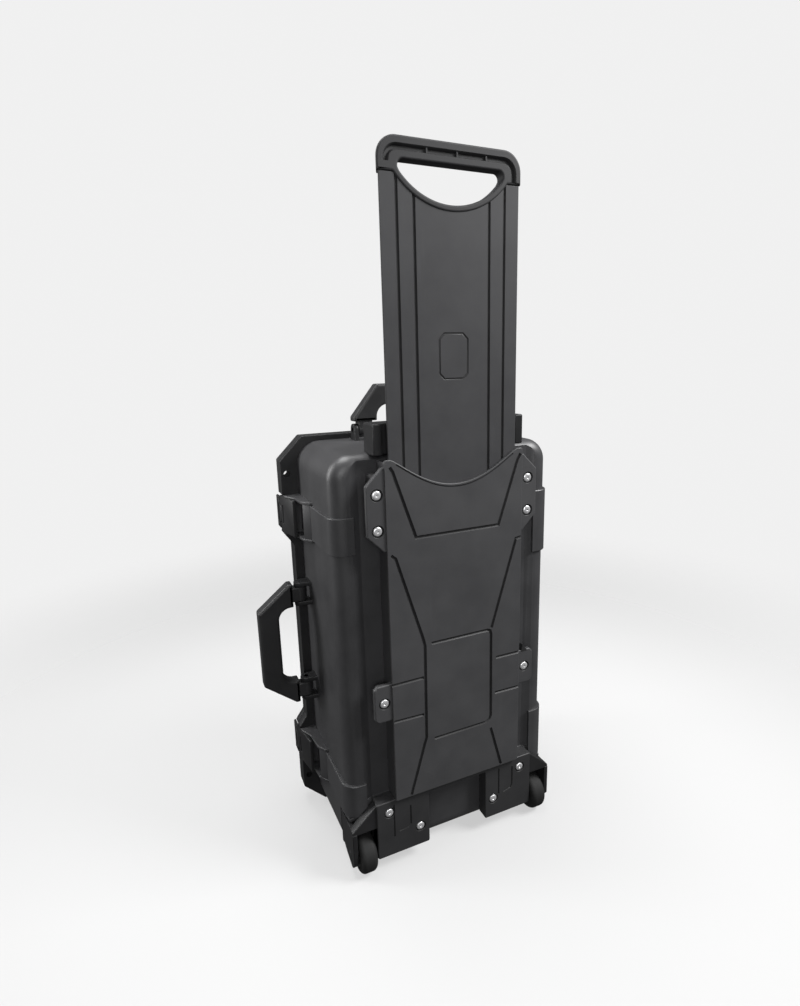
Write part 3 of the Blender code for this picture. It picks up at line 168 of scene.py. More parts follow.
def carried(profile, path, up, closed=False):
    # a closed profile carried along a path: point = path + across * side + down * up, side square to both
    path, up = np.array(path, float), np.array(up, float)
    ahead = (np.roll(path, -1, 0) - path) if closed else np.diff(path, axis=0)
    ahead /= np.linalg.norm(ahead, axis=1)[:, None]
    before = np.roll(ahead, 1, 0) if closed else np.concatenate([ahead[:1], ahead])
    after = ahead if closed else np.concatenate([ahead, ahead[-1:]])
    sideBefore, sideAfter = np.cross(before, up), np.cross(after, up)
    side = (sideBefore + sideAfter) / (1 + np.sum(sideBefore * sideAfter, 1))[:, None]
    profile = np.array(profile, float)
    points = path[:, None] + profile[None, :, :1] * side[:, None] + profile[None, :, 1:] * up
    rings, count = len(path), len(profile)
    quads = ringQuads(rings + 1, count) % (rings * count) if closed else ringQuads(rings, count)
    fan = np.stack([np.zeros(count - 2, int), np.arange(1, count - 1), np.arange(2, count)], 1)
    ends = np.zeros((0, 3), int) if closed else np.concatenate([fan[:, ::-1], fan + (rings - 1) * count])
    return points.reshape(-1, 3), quads, ends


def turnedShape(profile, centre, axis, steps=48, closed=False):
    # (radius, height) points turned round an axis: (r cos a, r sin a, h)
    profile = np.array(profile, float)
    angle = np.arange(steps) * 2 * math.pi / steps
    ring = np.stack([np.cos(angle), np.sin(angle)], 1)
    flat = profile[:, None, :1] * ring[None]
    tall = np.broadcast_to(profile[:, None, 1:], flat.shape[:2] + (1,))
    points = np.concatenate([flat, tall], 2).reshape(-1, 3)
    rings = len(profile)
    quads = ringQuads(rings + 1, steps) % (rings * steps) if closed else ringQuads(rings, steps)
    fan = np.stack([np.zeros(steps - 2, int), np.arange(1, steps - 1), np.arange(2, steps)], 1)
    ends = np.zeros((0, 3), int) if closed else np.concatenate([fan[:, ::-1], fan + (rings - 1) * steps])
    points = points[:, axisOrder[axis]]
    if axis == "Y":
        quads, ends = quads[:, ::-1], ends[:, ::-1]
    return points + np.array(centre), quads, ends


def rod(centre, axis, radius, length, edge=0.4 * mm, steps=32):
    # a cylinder with chamfered ends: (r - e, -h), (r, -h + e), (r, h - e), (r - e, h) turned
    half = length / 2
    return turnedShape(
        [(radius - edge, -half), (radius, -half + edge), (radius, half - edge), (radius - edge, half)],
        centre, axis, steps
    )


def meshOf(name, shape):
    points, quads, triangles = shape
    mesh = bpy.data.meshes.new(name)
    sizes = np.concatenate([np.full(len(quads), 4), np.full(len(triangles), 3)])
    corners = np.concatenate([quads.reshape(-1), triangles.reshape(-1)])
    mesh.vertices.add(len(points))
    mesh.vertices.foreach_set("co", np.asarray(points, np.float32).reshape(-1))
    mesh.loops.add(len(corners))
    mesh.loops.foreach_set("vertex_index", corners.astype(np.int32))
    mesh.polygons.add(len(sizes))
    mesh.polygons.foreach_set("loop_start", (np.cumsum(sizes) - sizes).astype(np.int32))
    mesh.update(calc_edges=True)
    mesh.validate()
    return mesh


def cutAway(mesh, cutters, slotIndex):
    # takes the cutters' shapes out of the mesh; the new faces take the given material slot
    solid = bpy.data.objects.new("solid", mesh)
    tool = bpy.data.objects.new("tool", meshOf("tool", together(*cutters)))
    tool.data.polygons.foreach_set("material_index", np.full(len(tool.data.polygons), slotIndex, np.int32))
    for item in (solid, tool):
        bpy.context.scene.collection.objects.link(item)
    modifier = solid.modifiers.new("cut", "BOOLEAN")
    modifier.operation, modifier.solver, modifier.object = "DIFFERENCE", "EXACT", tool
    modifier.use_self, modifier.material_mode = True, "INDEX"
    bpy.context.view_layer.update()
    made = bpy.data.meshes.new_from_object(solid.evaluated_get(bpy.context.evaluated_depsgraph_get()))
    for item in (solid, tool):
        bpy.data.objects.remove(item, do_unlink=True)
    return made


def piece(name, shape, body, finish, cutters=(), lines=(), stands=(), sharp=32):
    mesh = meshOf(name, shape)
    mesh.materials.append(finish)
    # faces cut by the lines tools take the second slot, the painted shade of the grooves
    if lines:
        mesh.materials.append(grooveShadeFinish)
    for slotIndex, tools in enumerate((cutters, lines)):
        if len(tools):
            mesh = cutAway(mesh, tools, slotIndex)
    mesh.shade_smooth()
    mesh.set_sharp_from_angle(angle=math.radians(sharp))
    facing = np.empty(len(mesh.polygons) * 3, np.float32)
    mesh.polygons.foreach_get("normal", facing)
    curved = np.abs(facing.reshape(-1, 3)).max(1) < 0.99999
    mesh.polygons.foreach_set("use_smooth", curved)
    item = bpy.data.objects.new(name, mesh)
    bpy.context.scene.collection.objects.link(item)
    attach(item, body)
    if stands:
        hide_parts(*stands)
    return item


class Signal:
    # a socket that takes part in arithmetic, each operation adding its Math node
    def __init__(self, finish, socket):
        self.finish, self.socket = finish, socket

    def math(self, operation, *values):
        return self.finish.add("ShaderNodeMath", {"operation": operation}, dict(enumerate(values)))

    def __add__(self, other):
        return self.math("ADD", self, other)

    def __sub__(self, other):
        return self.math("SUBTRACT", self, other)

    def __rsub__(self, other):
        return self.math("SUBTRACT", other, self)

    def __mul__(self, other):
        return self.math("MULTIPLY", self, other)

    __radd__, __rmul__ = __add__, __mul__

    def above(self, low, high):
        # 0 below low, 1 above high, smooth between
        return self.finish.add(
            "ShaderNodeMapRange",
            {"interpolation_type": "SMOOTHSTEP", "clamp": True},
            {"Value": self, "From Min": low, "From Max": high},
        )


class Finish:
    def __init__(self, name, fixed):
        self.material = bpy.data.materials.new(name)
        self.material.use_nodes = True
        self.tree = self.material.node_tree
        self.shader = self.tree.nodes["Principled BSDF"]
        for socket, value in fixed.items():
            self.shader.inputs[socket].default_value = value

    def add(self, kind, settings, inputs, output=0):
        node = self.tree.nodes.new(kind)
        for key, value in settings.items():
            setattr(node, key, value)
        for key, value in inputs.items():
            if isinstance(value, Signal):
                self.tree.links.new(value.socket, node.inputs[key])
            else:
                node.inputs[key].default_value = value
        return Signal(self, node.outputs[output])

    def place(self, scale=(1, 1, 1)):
        spot = self.add("ShaderNodeTexCoord", {}, {}, "Object")
        return self.add("ShaderNodeMapping", {}, {"Vector": spot, "Scale": scale})

    def noise(self, scale, detail=3.0, rough=0.5, stretch=(1, 1, 1)):
        return self.add("ShaderNodeTexNoise", {},
                        {"Vector": self.place(stretch), "Scale": scale, "Detail": detail, "Roughness": rough})

    def cells(self, scale):
        return self.add("ShaderNodeTexVoronoi", {"feature": "F1"}, {"Vector": self.place(), "Scale": scale})

    def blend(self, share, low, high):
        return self.add("ShaderNodeMix", {"data_type": "RGBA"}, {0: share, 6: (*low, 1), 7: (*high, 1)}, 2)

    def feed(self, socket, signal):
        self.tree.links.new(signal.socket, self.shader.inputs[socket])

    def relief(self, height, distance, strength=1.0, under=None):
        inputs = {"Height": height, "Distance": distance, "Strength": strength}
        if under is not None:
            inputs["Normal"] = under
        return self.add("ShaderNodeBump", {}, inputs)


def mouldedFinish(name, look):
    # spark-textured moulding: fine cells and grain in relief, slow mottling in colour and gloss, pale rubbed streaks
    finish = Finish(name, {"IOR": look["ior"], "Specular IOR Level": look["specular"]})
    mottle = finish.noise(look["mottle"], 4.0, 0.6)
    cloud = finish.noise(look["cloud"], 2.0, 0.5)
    streak = finish.noise(look["streaks"], 5.0, 0.65, (1, 1, 0.12)).above(0.60, 0.78)
    grain = finish.noise(look["grain"], 2.0, 0.5)
    pits = finish.cells(look["grain"] * 0.8)
    share = mottle * 0.55 + cloud * 0.45
    colour = finish.blend(share.above(0.25, 0.75), look["deep"], look["pale"])
    worn = finish.add("ShaderNodeMix", {"data_type": "RGBA"},
                      {0: streak * look["wear"], 6: colour, 7: (*look["rubbed"], 1)}, 2)
    finish.feed("Base Color", worn)
    finish.feed("Roughness",
                look["rough"] + (mottle - 0.5) * look["roughSpan"] + grain * 0.05 - streak * 0.06)
    soft = finish.relief(cloud, 0.6 * mm, look["wave"])
    finish.feed("Normal", finish.relief(grain * 0.6 + pits * 0.4, look["depth"], look["relief"], soft))
    return finish.material


def steelFinish(name, look):
    # plated steel: fine scratches in gloss, slow tarnish in colour
    finish = Finish(name, {"Metallic": 0.7})
    tarnish = finish.noise(look["tarnish"], 3.0)
    scratch = finish.noise(look["scratch"], 2.0, 0.6, (1, 1, 0.2))
    finish.feed("Base Color", finish.blend(tarnish.above(0.3, 0.7), look["deep"], look["pale"]))
    finish.feed("Roughness", look["rough"] + scratch * look["span"])
    finish.feed("Normal", finish.relief(scratch, 0.05 * mm, 0.4))
    return finish.material


shellLook = {
    "deep": (0.026, 0.026, 0.0275), "pale": (0.040, 0.040, 0.042), "rubbed": (0.075, 0.075, 0.078),
    "wear": 0.35,
    "mottle": 24.0, "cloud": 7.0, "streaks": 30.0, "grain": 1500.0, "depth": 0.12 * mm, "relief": 0.35,
    "wave": 0.10,
    "rough": 0.42, "roughSpan": 0.12, "ior": 1.5, "specular": 0.5,
}
coverLook = {**shellLook, "deep": (0.034, 0.034, 0.036), "pale": (0.047, 0.047, 0.049), "rough": 0.50,
             "wear": 0.25}
plateLook = {**shellLook, "deep": (0.030, 0.030, 0.032), "pale": (0.043, 0.043, 0.045), "rough": 0.60,
             "wear": 0.35, "specular": 0.25}
gripLook = {**plateLook, "deep": (0.019, 0.019, 0.020), "pale": (0.028, 0.028, 0.0295)}
trimLook = {
    **shellLook, "deep": (0.009, 0.009, 0.0096), "pale": (0.017, 0.017, 0.0178),
    "rubbed": (0.045, 0.045, 0.047),
    "wear": 0.25, "rough": 0.44, "specular": 0.28, "grain": 1100.0, "relief": 0.45,
}
# painted light: the trim moulding made paler on the carry handles, making up for the light their faces do not get
handleLitLook = {**trimLook, "deep": (0.014, 0.014, 0.0148), "pale": (0.027, 0.027, 0.028), "specular": 0.35}
rubberLook = {
    **trimLook, "deep": (0.006, 0.006, 0.006), "pale": (0.011, 0.011, 0.011), "rubbed": (0.04, 0.04, 0.039),
    "rough": 0.72, "specular": 0.35, "wear": 0.5,
}
steelLook = {"deep": (0.66, 0.66, 0.67), "pale": (0.84, 0.84, 0.85), "rough": 0.26, "span": 0.14,
             "tarnish": 260.0, "scratch": 2200.0}
shellFinish = mouldedFinish("shellMoulding", shellLook)
coverFinish = mouldedFinish("coverMoulding", coverLook)
plateFinish = mouldedFinish("plateMoulding", plateLook)
gripFinish = mouldedFinish("gripMoulding", gripLook)
trimFinish = mouldedFinish("trimMoulding", trimLook)
handleLitFinish = mouldedFinish("handleLitMoulding", handleLitLook)
# the bracket's own darker moulding, also put on the cover's ear posts as painted shade behind the ears
bracketAndPostShadeFinish = mouldedFinish("bracketMouldingAndPostShade",
                           {**coverLook, "deep": (0.016, 0.016, 0.017), "pale": (0.025, 0.025, 0.026)})
rubberFinish = mouldedFinish("wheelRubber", rubberLook)
# the faces cut for grooves and screw seats: a darker moulding that stands for the shade inside those recesses,
# painted shade
grooveShadeFinish = mouldedFinish("grooveShade",
                           {**coverLook, "deep": (0.014, 0.014, 0.0145), "pale": (0.022, 0.022, 0.023),
                            "specular": 0.3})
platedSteel = steelFinish("platedSteel", steelLook)
print("finishes made")


grooveSize = {"half": 1.7 * mm, "depth": 1.9 * mm, "proud": 0.8 * mm}


def grooveTool(path, face, size=grooveSize, closed=False):
    # a tapered bar along a line in the XZ plane, its tip sunk below the face
    half, tip, mouth = size["half"], size["half"] * 0.5, size["half"] * 1.25
    profile = [(-mouth, -size["proud"]), (mouth, -size["proud"]), (mouth, 0.0), (half, 0.45 * mm),
               (tip, size["depth"]),
               (-tip, size["depth"]), (-half, 0.45 * mm), (-mouth, 0.0)]
    line = np.array([(x, face, z) for x, z in path])
    return carried(profile, line, (0, 1, 0), closed)


seatSize = {"radius": 7.2 * mm, "depth": 2.5 * mm, "flare": 0.5 * mm}


def seatTool(x, z, face):
    # a flat-bottomed round recess, its mouth slightly flared
    radius, depth = seatSize["radius"], seatSize["depth"]
    wide = radius + seatSize["flare"]
    return turnedShape([(wide, -1 * mm), (wide, 0.0), (radius, 0.5 * mm), (radius * 0.97, depth)],
                       (x, face, z), "Y", 40)


def facingOut(shape):
    # every face's order turned round
    points, quads, triangles = shape
    return points, quads[:, ::-1], triangles[:, ::-1]


screws = {name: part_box(name) for name in frame["nodes"] if "screw" in name}


def screwPlace(name):
    # the middle in x and z, and the front in y
    low, high = screws[name]
    return (low.x + high.x) / 2, (low.z + high.z) / 2, low.y


headLook = {"socket": 1.2 * mm, "sink": 0.6 * mm, "swell": 1.24}


def screwHead(name):
    # a domed head with a round-ended driver socket, turned about the screw's own line
    x, z, front = screwPlace(name)
    low, high = screws[name]
    radius = (high.x - low.x) / 2 * headLook["swell"]
    profile = [
        (0.01 * mm, headLook["sink"]), (headLook["socket"] * 0.5, headLook["sink"]),
        (headLook["socket"] * 0.85, headLook["sink"] * 0.9),
        (headLook["socket"], headLook["sink"] * 0.5), (headLook["socket"] + 0.15 * mm, 0.08 * mm),
        (headLook["socket"] + 0.4 * mm, 0.0),
        (radius * 0.6, 0.12 * mm), (radius * 0.8, 0.35 * mm), (radius * 0.93, 0.75 * mm),
        (radius * 0.99, 1.3 * mm),
        (radius, 2.2 * mm), (radius * 0.98, 2.4 * mm), (radius * 0.5, 2.45 * mm), (radius * 0.46, 3 * mm),
        (radius * 0.46, high.y - front),
    ]
    return turnedShape(profile, (x, front, z), "Y", 32)


for name in screws:
    piece(name + "_head", screwHead(name), "base", platedSteel, stands=[name], sharp=40)
print("screws made")


cover = {
    "face": coverLow.y, "skin": 4.5 * mm, "seat": coverHigh.y, "foot": coverLow.z, "top": coverHigh.z,
    "half": 92.3 * mm, "wall": 3.5 * mm, "earOut": coverHigh.x, "earBack": 2.0 * mm, "earThick": 6.5 * mm,
    "earInset": 9 * mm,
    "dip": 35 * mm, "dipHalf": 84 * mm, "dipPower": 1.2, "round": 0.9 * mm,
    "ears": [(436 * mm, 535 * mm, 20 * mm), (219 * mm, 268 * mm, 4.5 * mm)],
}


def dipEdge(steps=36):
    # top edge: z = top - dip * (1 - (x / w)^2)^p
    x = np.linspace(cover["dipHalf"], -cover["dipHalf"], steps + 1)
    return np.stack([x, cover["top"] - cover["dip"] * (1 - (x / cover["dipHalf"]) ** 2) ** cover["dipPower"]], 1)


def coverOutline():
    # a rounded rectangle whose top is the dip
    half, foot, top = cover["half"], cover["foot"], cover["top"]
    corners = filleted([(-half, top), (-half, foot), (half, foot), (half, top)],
                       [3 * mm, 2 * mm, 2 * mm, 3 * mm], 4)
    return np.concatenate([corners, dipEdge()])


def earOutline(side, low, high, chamfer):
    # a tab from the cover's side, its outer corners cut at 45 degrees
    out, root = side * cover["earOut"], side * (cover["half"] - 1.5 * mm)
    corners = [(root, low), (out - side * chamfer, low), (out, low + chamfer), (out, high - chamfer),
               (out - side * chamfer, high), (root, high)]
    return filleted(corners, [0, 2.5 * mm, 2.5 * mm, 2.5 * mm, 2.5 * mm, 0], 4)


def coverLines():
    # the panel lines, in millimetres, drawn for both sides
    lines = [
        [(-86, 535), (-82.5, 529), (-55.5, 449), (57.5, 449), (84.5, 529), (89, 536)],
        [(-88, 431.5), (-82.3, 427), (-49.5, 319.5), (-47, 309), (-47.5, 182), (-50, 175), (-70.8, 105.2)],
        [(92.5, 428.6), (84, 427.4), (75.5, 400), (48.5, 312.5)],
        [(-38, 310.4), (42.5, 310.3), (46.5, 308.5), (47.8, 304), (48, 186), (46, 180.5), (41, 177.5),
         (-36, 176.8)],
        [(48.1, 166.5), (64.7, 105.2)],
        [(-92.2, 266.5), (-49.6, 266.8)], [(-91, 216.8), (-50.4, 215.6)],
        [(55.7, 268.4), (103, 267.9)], [(54.6, 217.3), (93.4, 216.7)],
    ]
    return [[(x * mm, z * mm) for x, z in line] for line in lines]


def makeCover():
    face, seat = cover["face"], cover["seat"]
    skin = board(coverOutline(), "Y", face, face + cover["skin"], cover["round"], 4)
    grooves = [grooveTool(line, face) for line in coverLines()]
    lip = dipEdge()[1:-1] * [0.985, 1] - [0, 3.4 * mm]
    grooves.append(grooveTool(lip, face, {"half": 0.7 * mm, "depth": 1.0 * mm, "proud": 0.8 * mm}))
    # the panel lines and the lip under the dip take the painted groove shade
    piece("handleCoverSkin", skin, "base", coverFinish, lines=[facingOut(g) for g in grooves],
          stands=["handle_cover"])
    walls, inner = [], cover["half"] - cover["wall"]
    for side in (-1, 1):
        a, b = sorted((side * inner, side * (cover["half"] - 0.05 * mm)))
        walls.append(board(roundRect(a, face + 2 * mm, b, seat, 0.3 * mm, 1), "Z", cover["foot"] + 0.1 * mm,
                           cover["top"] - 3 * mm, 0.3 * mm, 1))
    walls.append(board(roundRect(-inner, face + 2 * mm, inner, seat, 0.3 * mm, 1), "Z",
                       cover["foot"] + 0.1 * mm, cover["foot"] + 3.5 * mm, 0.3 * mm, 1))
    piece("handleCoverWalls", together(*walls), "base", coverFinish)
    thin = face + cover["earBack"] + cover["earThick"]
    ears, posts = [], []
    for side in (-1, 1):
        for low, high, chamfer in cover["ears"]:
            ears.append(board(earOutline(side, low, high, chamfer), "Y", face + cover["earBack"], thin,
                              1.5 * mm, 4))
            a, b = sorted((side * cover["half"], side * (cover["earOut"] - cover["earInset"])))
            posts.append(board(roundRect(a, low + cover["earInset"], b, high - cover["earInset"], 4 * mm),
                               "Y", thin - 0.5 * mm, seat, 0.5 * mm, 1))
    marks = []
    for name in screws:
        if name.startswith("cover"):
            x, z, _ = screwPlace(name)
            marks.append(seatTool(x, z, face + cover["earBack"]))
    # the screw seats in the ears take the painted groove shade
    piece("handleCoverEars", together(*ears), "base", coverFinish, lines=marks)
    # the posts behind the thin ears take the darker moulding: painted shade in the gap under each ear
    piece("handleCoverPosts", together(*posts), "base", bracketAndPostShadeFinish)
    # the pointer, a dark mark on the ear, borrows the same dark finish
    pointer = [(96.5 * mm, 266 * mm), (107 * mm, 266 * mm), (98.5 * mm, 276 * mm)]
    piece("coverPointer", board(pointer, "Y", face + 1.6 * mm, thin, 0.3 * mm, 1), "base",
          grooveShadeFinish)


makeCover()
print("cover made")


pull = {
    "half": plateHigh.x, "low": plateLow.z, "face": plateLow.y + 1.1 * mm, "back": plateHigh.y,
    "gripHalf": gripHigh.x, "top": gripHigh.z, "gripFace": gripLow.y, "gripBack": gripHigh.y,
    "corner": 22 * mm,
    "sideDrop": 34.5 * mm, "eyeDrop": 22 * mm, "eyeDepth": 39 * mm, "eyeHalf": 67 * mm, "lip": 7 * mm,
    "round": 6 * mm,
    "ribs": [66 * mm, 46.1 * mm], "badgeHalf": 18 * mm, "badgeLow": 629 * mm, "badgeHigh": 679 * mm,
}


def eyeArc():
    # the opening's lower edge: a circle through its ends and its lowest point, r = (w^2 + d^2) / 2d
    deep = pull["eyeDepth"] - 4 * mm
    radius = (pull["eyeHalf"] ** 2 + deep**2) / (2 * deep)
    return pull["top"] - pull["eyeDrop"] - pull["eyeDepth"] + radius, radius


def lowerArc(offset, drop, steps=40):
    # the same circle widened by offset, up to drop below the top: reach = arccos(height / r)
    centre, radius = eyeArc()
    radius += offset
    reach = math.degrees(math.acos((centre - (pull["top"] - drop)) / radius))
    return arcPoints((0, centre), radius, 270 - reach, 270 + reach, steps)


def eyeOutline(grow=0.0):
    # the lower arc, closed by a straight top with two round corners
    top = pull["top"] - pull["eyeDrop"] + grow
    lower = lowerArc(grow, pull["eyeDrop"] - grow + 2 * pull["round"] * 0.95)
    end = lower[-1]
    r = pull["round"] + grow * 0.7
    corner = arcPoints((end[0] - r * 0.62, top - r), r, -20, 90, 8)
    return np.concatenate([lower, corner, mirrored(corner)])


def makePullHandle():
    half, top = pull["gripHalf"], pull["top"]
    side = top - pull["sideDrop"]
    corners = filleted([(half, side), (half, top), (-half, top), (-half, side)],
                       [1.2 * mm, pull["corner"], pull["corner"], 1.2 * mm], 12)
    outer = np.concatenate([corners, lowerArc(pull["lip"], pull["sideDrop"])])
    grip = board([outer, eyeOutline()], "Y", pull["gripFace"], pull["gripBack"], 2.2 * mm, 5)
    towardsBack = np.clip((grip[0][:, 1] - pull["gripFace"] - 3 * mm) / (10 * mm), 0, 1)
    towardsSide = np.clip((np.abs(grip[0][:, 0]) - half + 12 * mm) / (12 * mm), 0, 1)
    grip[0][:, 0] -= np.sign(grip[0][:, 0]) * towardsBack * towardsSide * 4.5 * mm
    troughTop, troughSide = top - 11.2 * mm, half - 9.8 * mm
    path = filleted([(-troughSide, side + 9 * mm), (-troughSide, troughTop), (troughSide, troughTop),
                     (troughSide, side + 2 * mm)], [0, 13 * mm, 13 * mm, 0], 10)
    trough = grooveTool(path, pull["gripFace"], {"half": 2.9 * mm, "depth": 3.2 * mm, "proud": 1 * mm})
    # the trough takes the painted groove shade
    piece("pullGripFrame", grip, "pull_handle", gripFinish, lines=[facingOut(trough)],
          stands=["pull_grip"])
    ribs = []
    for x in (-30 * mm, 6 * mm, 42 * mm):
        ribs.append(board(roundRect(x - 1 * mm, troughTop - 3.2 * mm, x + 1 * mm, troughTop + 3.2 * mm,
                                    0.3 * mm, 1), "Y",
                          pull["gripFace"] + 0.9 * mm, pull["gripFace"] + 4 * mm, 0.3 * mm, 1))
    piece("pullGripRibs", together(*ribs), "pull_handle", gripFinish)

    plateHalf, low = pull["half"], pull["low"]
    outline = np.concatenate([
        filleted([(-plateHalf, side), (-plateHalf, low), (plateHalf, low), (plateHalf, side)],
                 [0, 3 * mm, 3 * mm, 0], 4),
        lowerArc(pull["lip"] - 1.5 * mm, pull["sideDrop"] + 0.2 * mm)[::-1],
    ])
    face = pull["face"]
    lines = [[(s * x, low + 6 * mm),
              (s * x, side - 1 * mm - (66 * mm - x) * 0.75)] for x in pull["ribs"] for s in (-1, 1)]
    wide = {"half": 1.5 * mm, "depth": 1.5 * mm, "proud": 0.8 * mm}
    grooves = [grooveTool(line, face, wide) for line in lines]
    w, foot, head = pull["badgeHalf"], pull["badgeLow"], pull["badgeHigh"]
    badge = filleted([(-w, foot), (w, foot), (w, head), (-w, head)], 6 * mm, 1)
    grooves.append(grooveTool(badge, face, {"half": 1.0 * mm, "depth": 0.7 * mm, "proud": 0.8 * mm}, True))
    # the plate's lines and badge outline take the painted groove shade
    piece("pullPlate", board(outline, "Y", face, face + 2.4 * mm, 1.0 * mm, 3), "pull_handle",
          plateFinish,
          lines=[facingOut(g) for g in grooves], stands=["pull_handle_plate"])
    inner = plateHalf - 5.4 * mm
    behind = np.concatenate([
        filleted([(-inner, side - 1 * mm), (-inner, low + 1 * mm), (inner, low + 1 * mm),
                  (inner, side - 1 * mm)], [0, 3 * mm, 3 * mm, 0], 3),
        lowerArc(pull["lip"] - 1.0 * mm, pull["sideDrop"] + 1.2 * mm)[::-1],
    ])
    piece("pullPlateBack", board(behind, "Y", face + 2.2 * mm, pull["back"], 1.2 * mm, 3), "pull_handle",
          plateFinish)


makePullHandle()
print("pull handle made")


shell = {
    "half": 153 * mm, "low": 7 * mm, "draft": 3.5 * mm, "corner": 32 * mm, "wall": 4 * mm,
    "back": -149 * mm, "floor": -142 * mm, "backRound": 18 * mm,
    "lidFace": lidHigh.y, "lidFloor": lidHigh.y - 7 * mm, "lidRound": 12 * mm, "lidStart": 9 * mm,
}


def trayRings(yValues, insets, corner, sideSteps=36, endSteps=22, cornerSteps=10):
    # rounded rectangles, one for each depth: half sizes shrink by the inset, and the corner radius shrinks with it
    s = np.linspace(-1, 1, sideSteps + 1)
    t = np.linspace(-1, 1, endSteps + 1)
    quarter = np.linspace(0, math.pi / 2, cornerSteps + 1)[1:-1]
    signX = np.concatenate([np.ones_like(s), np.ones_like(quarter), -t, -np.ones_like(quarter),
                            -np.ones_like(s), -np.ones_like(quarter), t, np.ones_like(quarter)])
    signZ = np.concatenate([s, np.ones_like(quarter), np.ones_like(t), np.ones_like(quarter), -s,
                            -np.ones_like(quarter), -np.ones_like(t), -np.ones_like(quarter)])
    angle = np.concatenate([0 * s, quarter, 0 * t + math.pi / 2, quarter + math.pi / 2, 0 * s + math.pi,
                            quarter + math.pi, 0 * t + 1.5 * math.pi, quarter + 1.5 * math.pi])
    centre = caseTop / 2
    insets = np.array(insets, float)[:, None]
    halfX, halfZ = shell["half"] - insets, centre - shell["low"] - insets
    radius = np.clip(corner - np.array(insets), 0.5 * mm, None)
    x = signX * (halfX - radius) + radius * np.cos(angle)
    z = centre + signZ * (halfZ - radius) + radius * np.sin(angle)
    y = np.broadcast_to(np.array(yValues, float)[:, None], x.shape)
    return np.stack([x, y, z], -1)


def edgeCurve(y0, y1, inset0, inset1, radius, steps=8, flat=(6, 18, 40, 80)):
    # down the wall with its draft, round the far edge, then in over the flat end
    towards = math.copysign(1, y1 - y0)
    wall = np.linspace(0, 1, 8)[:-1]
    angle = np.linspace(0, math.pi / 2, steps + 1)
    ys = np.concatenate([y0 + (y1 - towards * radius - y0) * wall,
                         y1 - towards * radius * (1 - np.sin(angle))])
    ins = np.concatenate([inset0 + (inset1 - inset0) * wall, inset1 + radius * (1 - np.cos(angle))])
    ys = np.concatenate([ys, np.full(len(flat), y1)])
    ins = np.concatenate([ins, inset1 + radius + np.array(flat) * mm])
    return ys, ins


def tray(y0, y1, floor, radius):
    # outer wall out to its end, inner wall back from its floor, joined round the mouth
    wall = shell["wall"]
    outY, outIn = edgeCurve(y0, y1, 0.0, shell["draft"], radius)
    inY, inIn = edgeCurve(y0, floor, wall, shell["draft"] + wall, radius * 0.5)
    rings = np.concatenate([
        trayRings(outY[::-1], outIn[::-1], shell["corner"]), trayRings(inY, inIn, shell["corner"])
    ])
    count = rings.shape[1]
    quads = ringQuads(len(rings), count)
    points = rings.reshape(-1, 3)
    ends = []
    for k, flip in ((0, False), (len(rings) - 1, True)):
        loop = [Vector((p[0], p[2], 0)) for p in rings[k]]
        cap = np.array(tessellate_polygon([loop]))
        a, b, c = (rings[k][cap[:, i]][:, [0, 2]] for i in range(3))
        facing = (b[:, 0] - a[:, 0]) * (c[:, 1] - a[:, 1]) - (b[:, 1] - a[:, 1]) * (c[:, 0] - a[:, 0])
        cap = np.where((facing > 0)[:, None] != flip, cap[:, ::-1], cap)
        ends.append(cap + k * count)
    shape = points, quads, np.concatenate(ends)
    return shape if y1 < y0 else facingOut(shape)


rimSize = {
    "waistIn": 11.5 * mm, "corner": 31 * mm, "hingeCorner": 19.5 * mm, "land": 132 * mm, "ramp": 148 * mm,
    "notchIn": 7.5 * mm, "notchLow": 77 * mm, "notchHigh": 130 * mm,
}


def rimOutline():
    # cut corners, a narrow waist on the latch side between two wide lands, and a notch in each land
    wide, waist = rimHalf, rimHalf - rimSize["waistIn"]
    corner, hingeCorner, land, ramp = (rimSize[k] for k in ("corner", "hingeCorner", "land", "ramp"))
    step, notchLow, notchHigh = (rimSize[k] for k in ("notchIn", "notchLow", "notchHigh"))
    notch = [(-wide, notchHigh), (-wide + step, notchHigh), (-wide + step, notchLow), (-wide, notchLow)]
    corners = [(-wide + corner, 0), (waist - hingeCorner, 0), (waist, hingeCorner),
               (waist, caseTop - hingeCorner),
               (waist - hingeCorner, caseTop), (-wide + corner, caseTop), (-wide, caseTop - corner)]
    corners += [(x, caseTop - z) for x, z in notch][::-1] + [(-wide, caseTop - land),
            (-waist, caseTop - ramp)]
    corners += [(-waist, ramp), (-wide, land)] + notch + [(-wide, corner)]
    radii = [3] * 7 + [1, 1, 1, 0.6, 0.6, 6, 6, 0.6, 0.6, 1, 1, 1, 3]
    return filleted(corners, [r * mm for r in radii], 3)


def mouthHole(grow=0.0):
    # the tray's inner outline, widened by grow
    half, low = shell["half"] - shell["wall"] + grow, shell["low"] + shell["wall"] - grow
    return roundRect(-half, low, half, caseTop - low, shell["corner"] - shell["wall"], 8)


rows = {"upper": caseTop - 103.5 * mm, "lower": 103.5 * mm}
eyes = [(-167 * mm, 49 * mm), (-167 * mm, 510 * mm)]


def eyeTools():
    return [turnedShape([(4.5 * mm, -30 * mm), (4.5 * mm, 30 * mm)], (x, 0, z), "Y", 32) for x, z in eyes]


def band(low, high):
    # a flat raised strip carried down the left wall and round the back edge; the right one is its mirror
    out, back = shell["half"] + 0.3 * mm, shell["back"] - 0.3 * mm
    tip = out - shell["draft"]
    line = filleted([(-out, -4 * mm), (-tip, back), (-124.5 * mm, back), (-118 * mm, back)],
                    [0, 17 * mm, 0, 0], 10)
    proud, sunk = 2.3 * mm, -3 * mm
    profile = np.array([
        (sunk, low), (proud - 0.3 * mm, low), (proud, low + 0.4 * mm),
        (proud, high - 0.8 * mm), (proud - 0.6 * mm, high), (sunk, high),
    ])
    path = np.array([(x, y, 0.0) for x, y in line[:-1]])
    return carried(profile, path, (0, 0, 1))


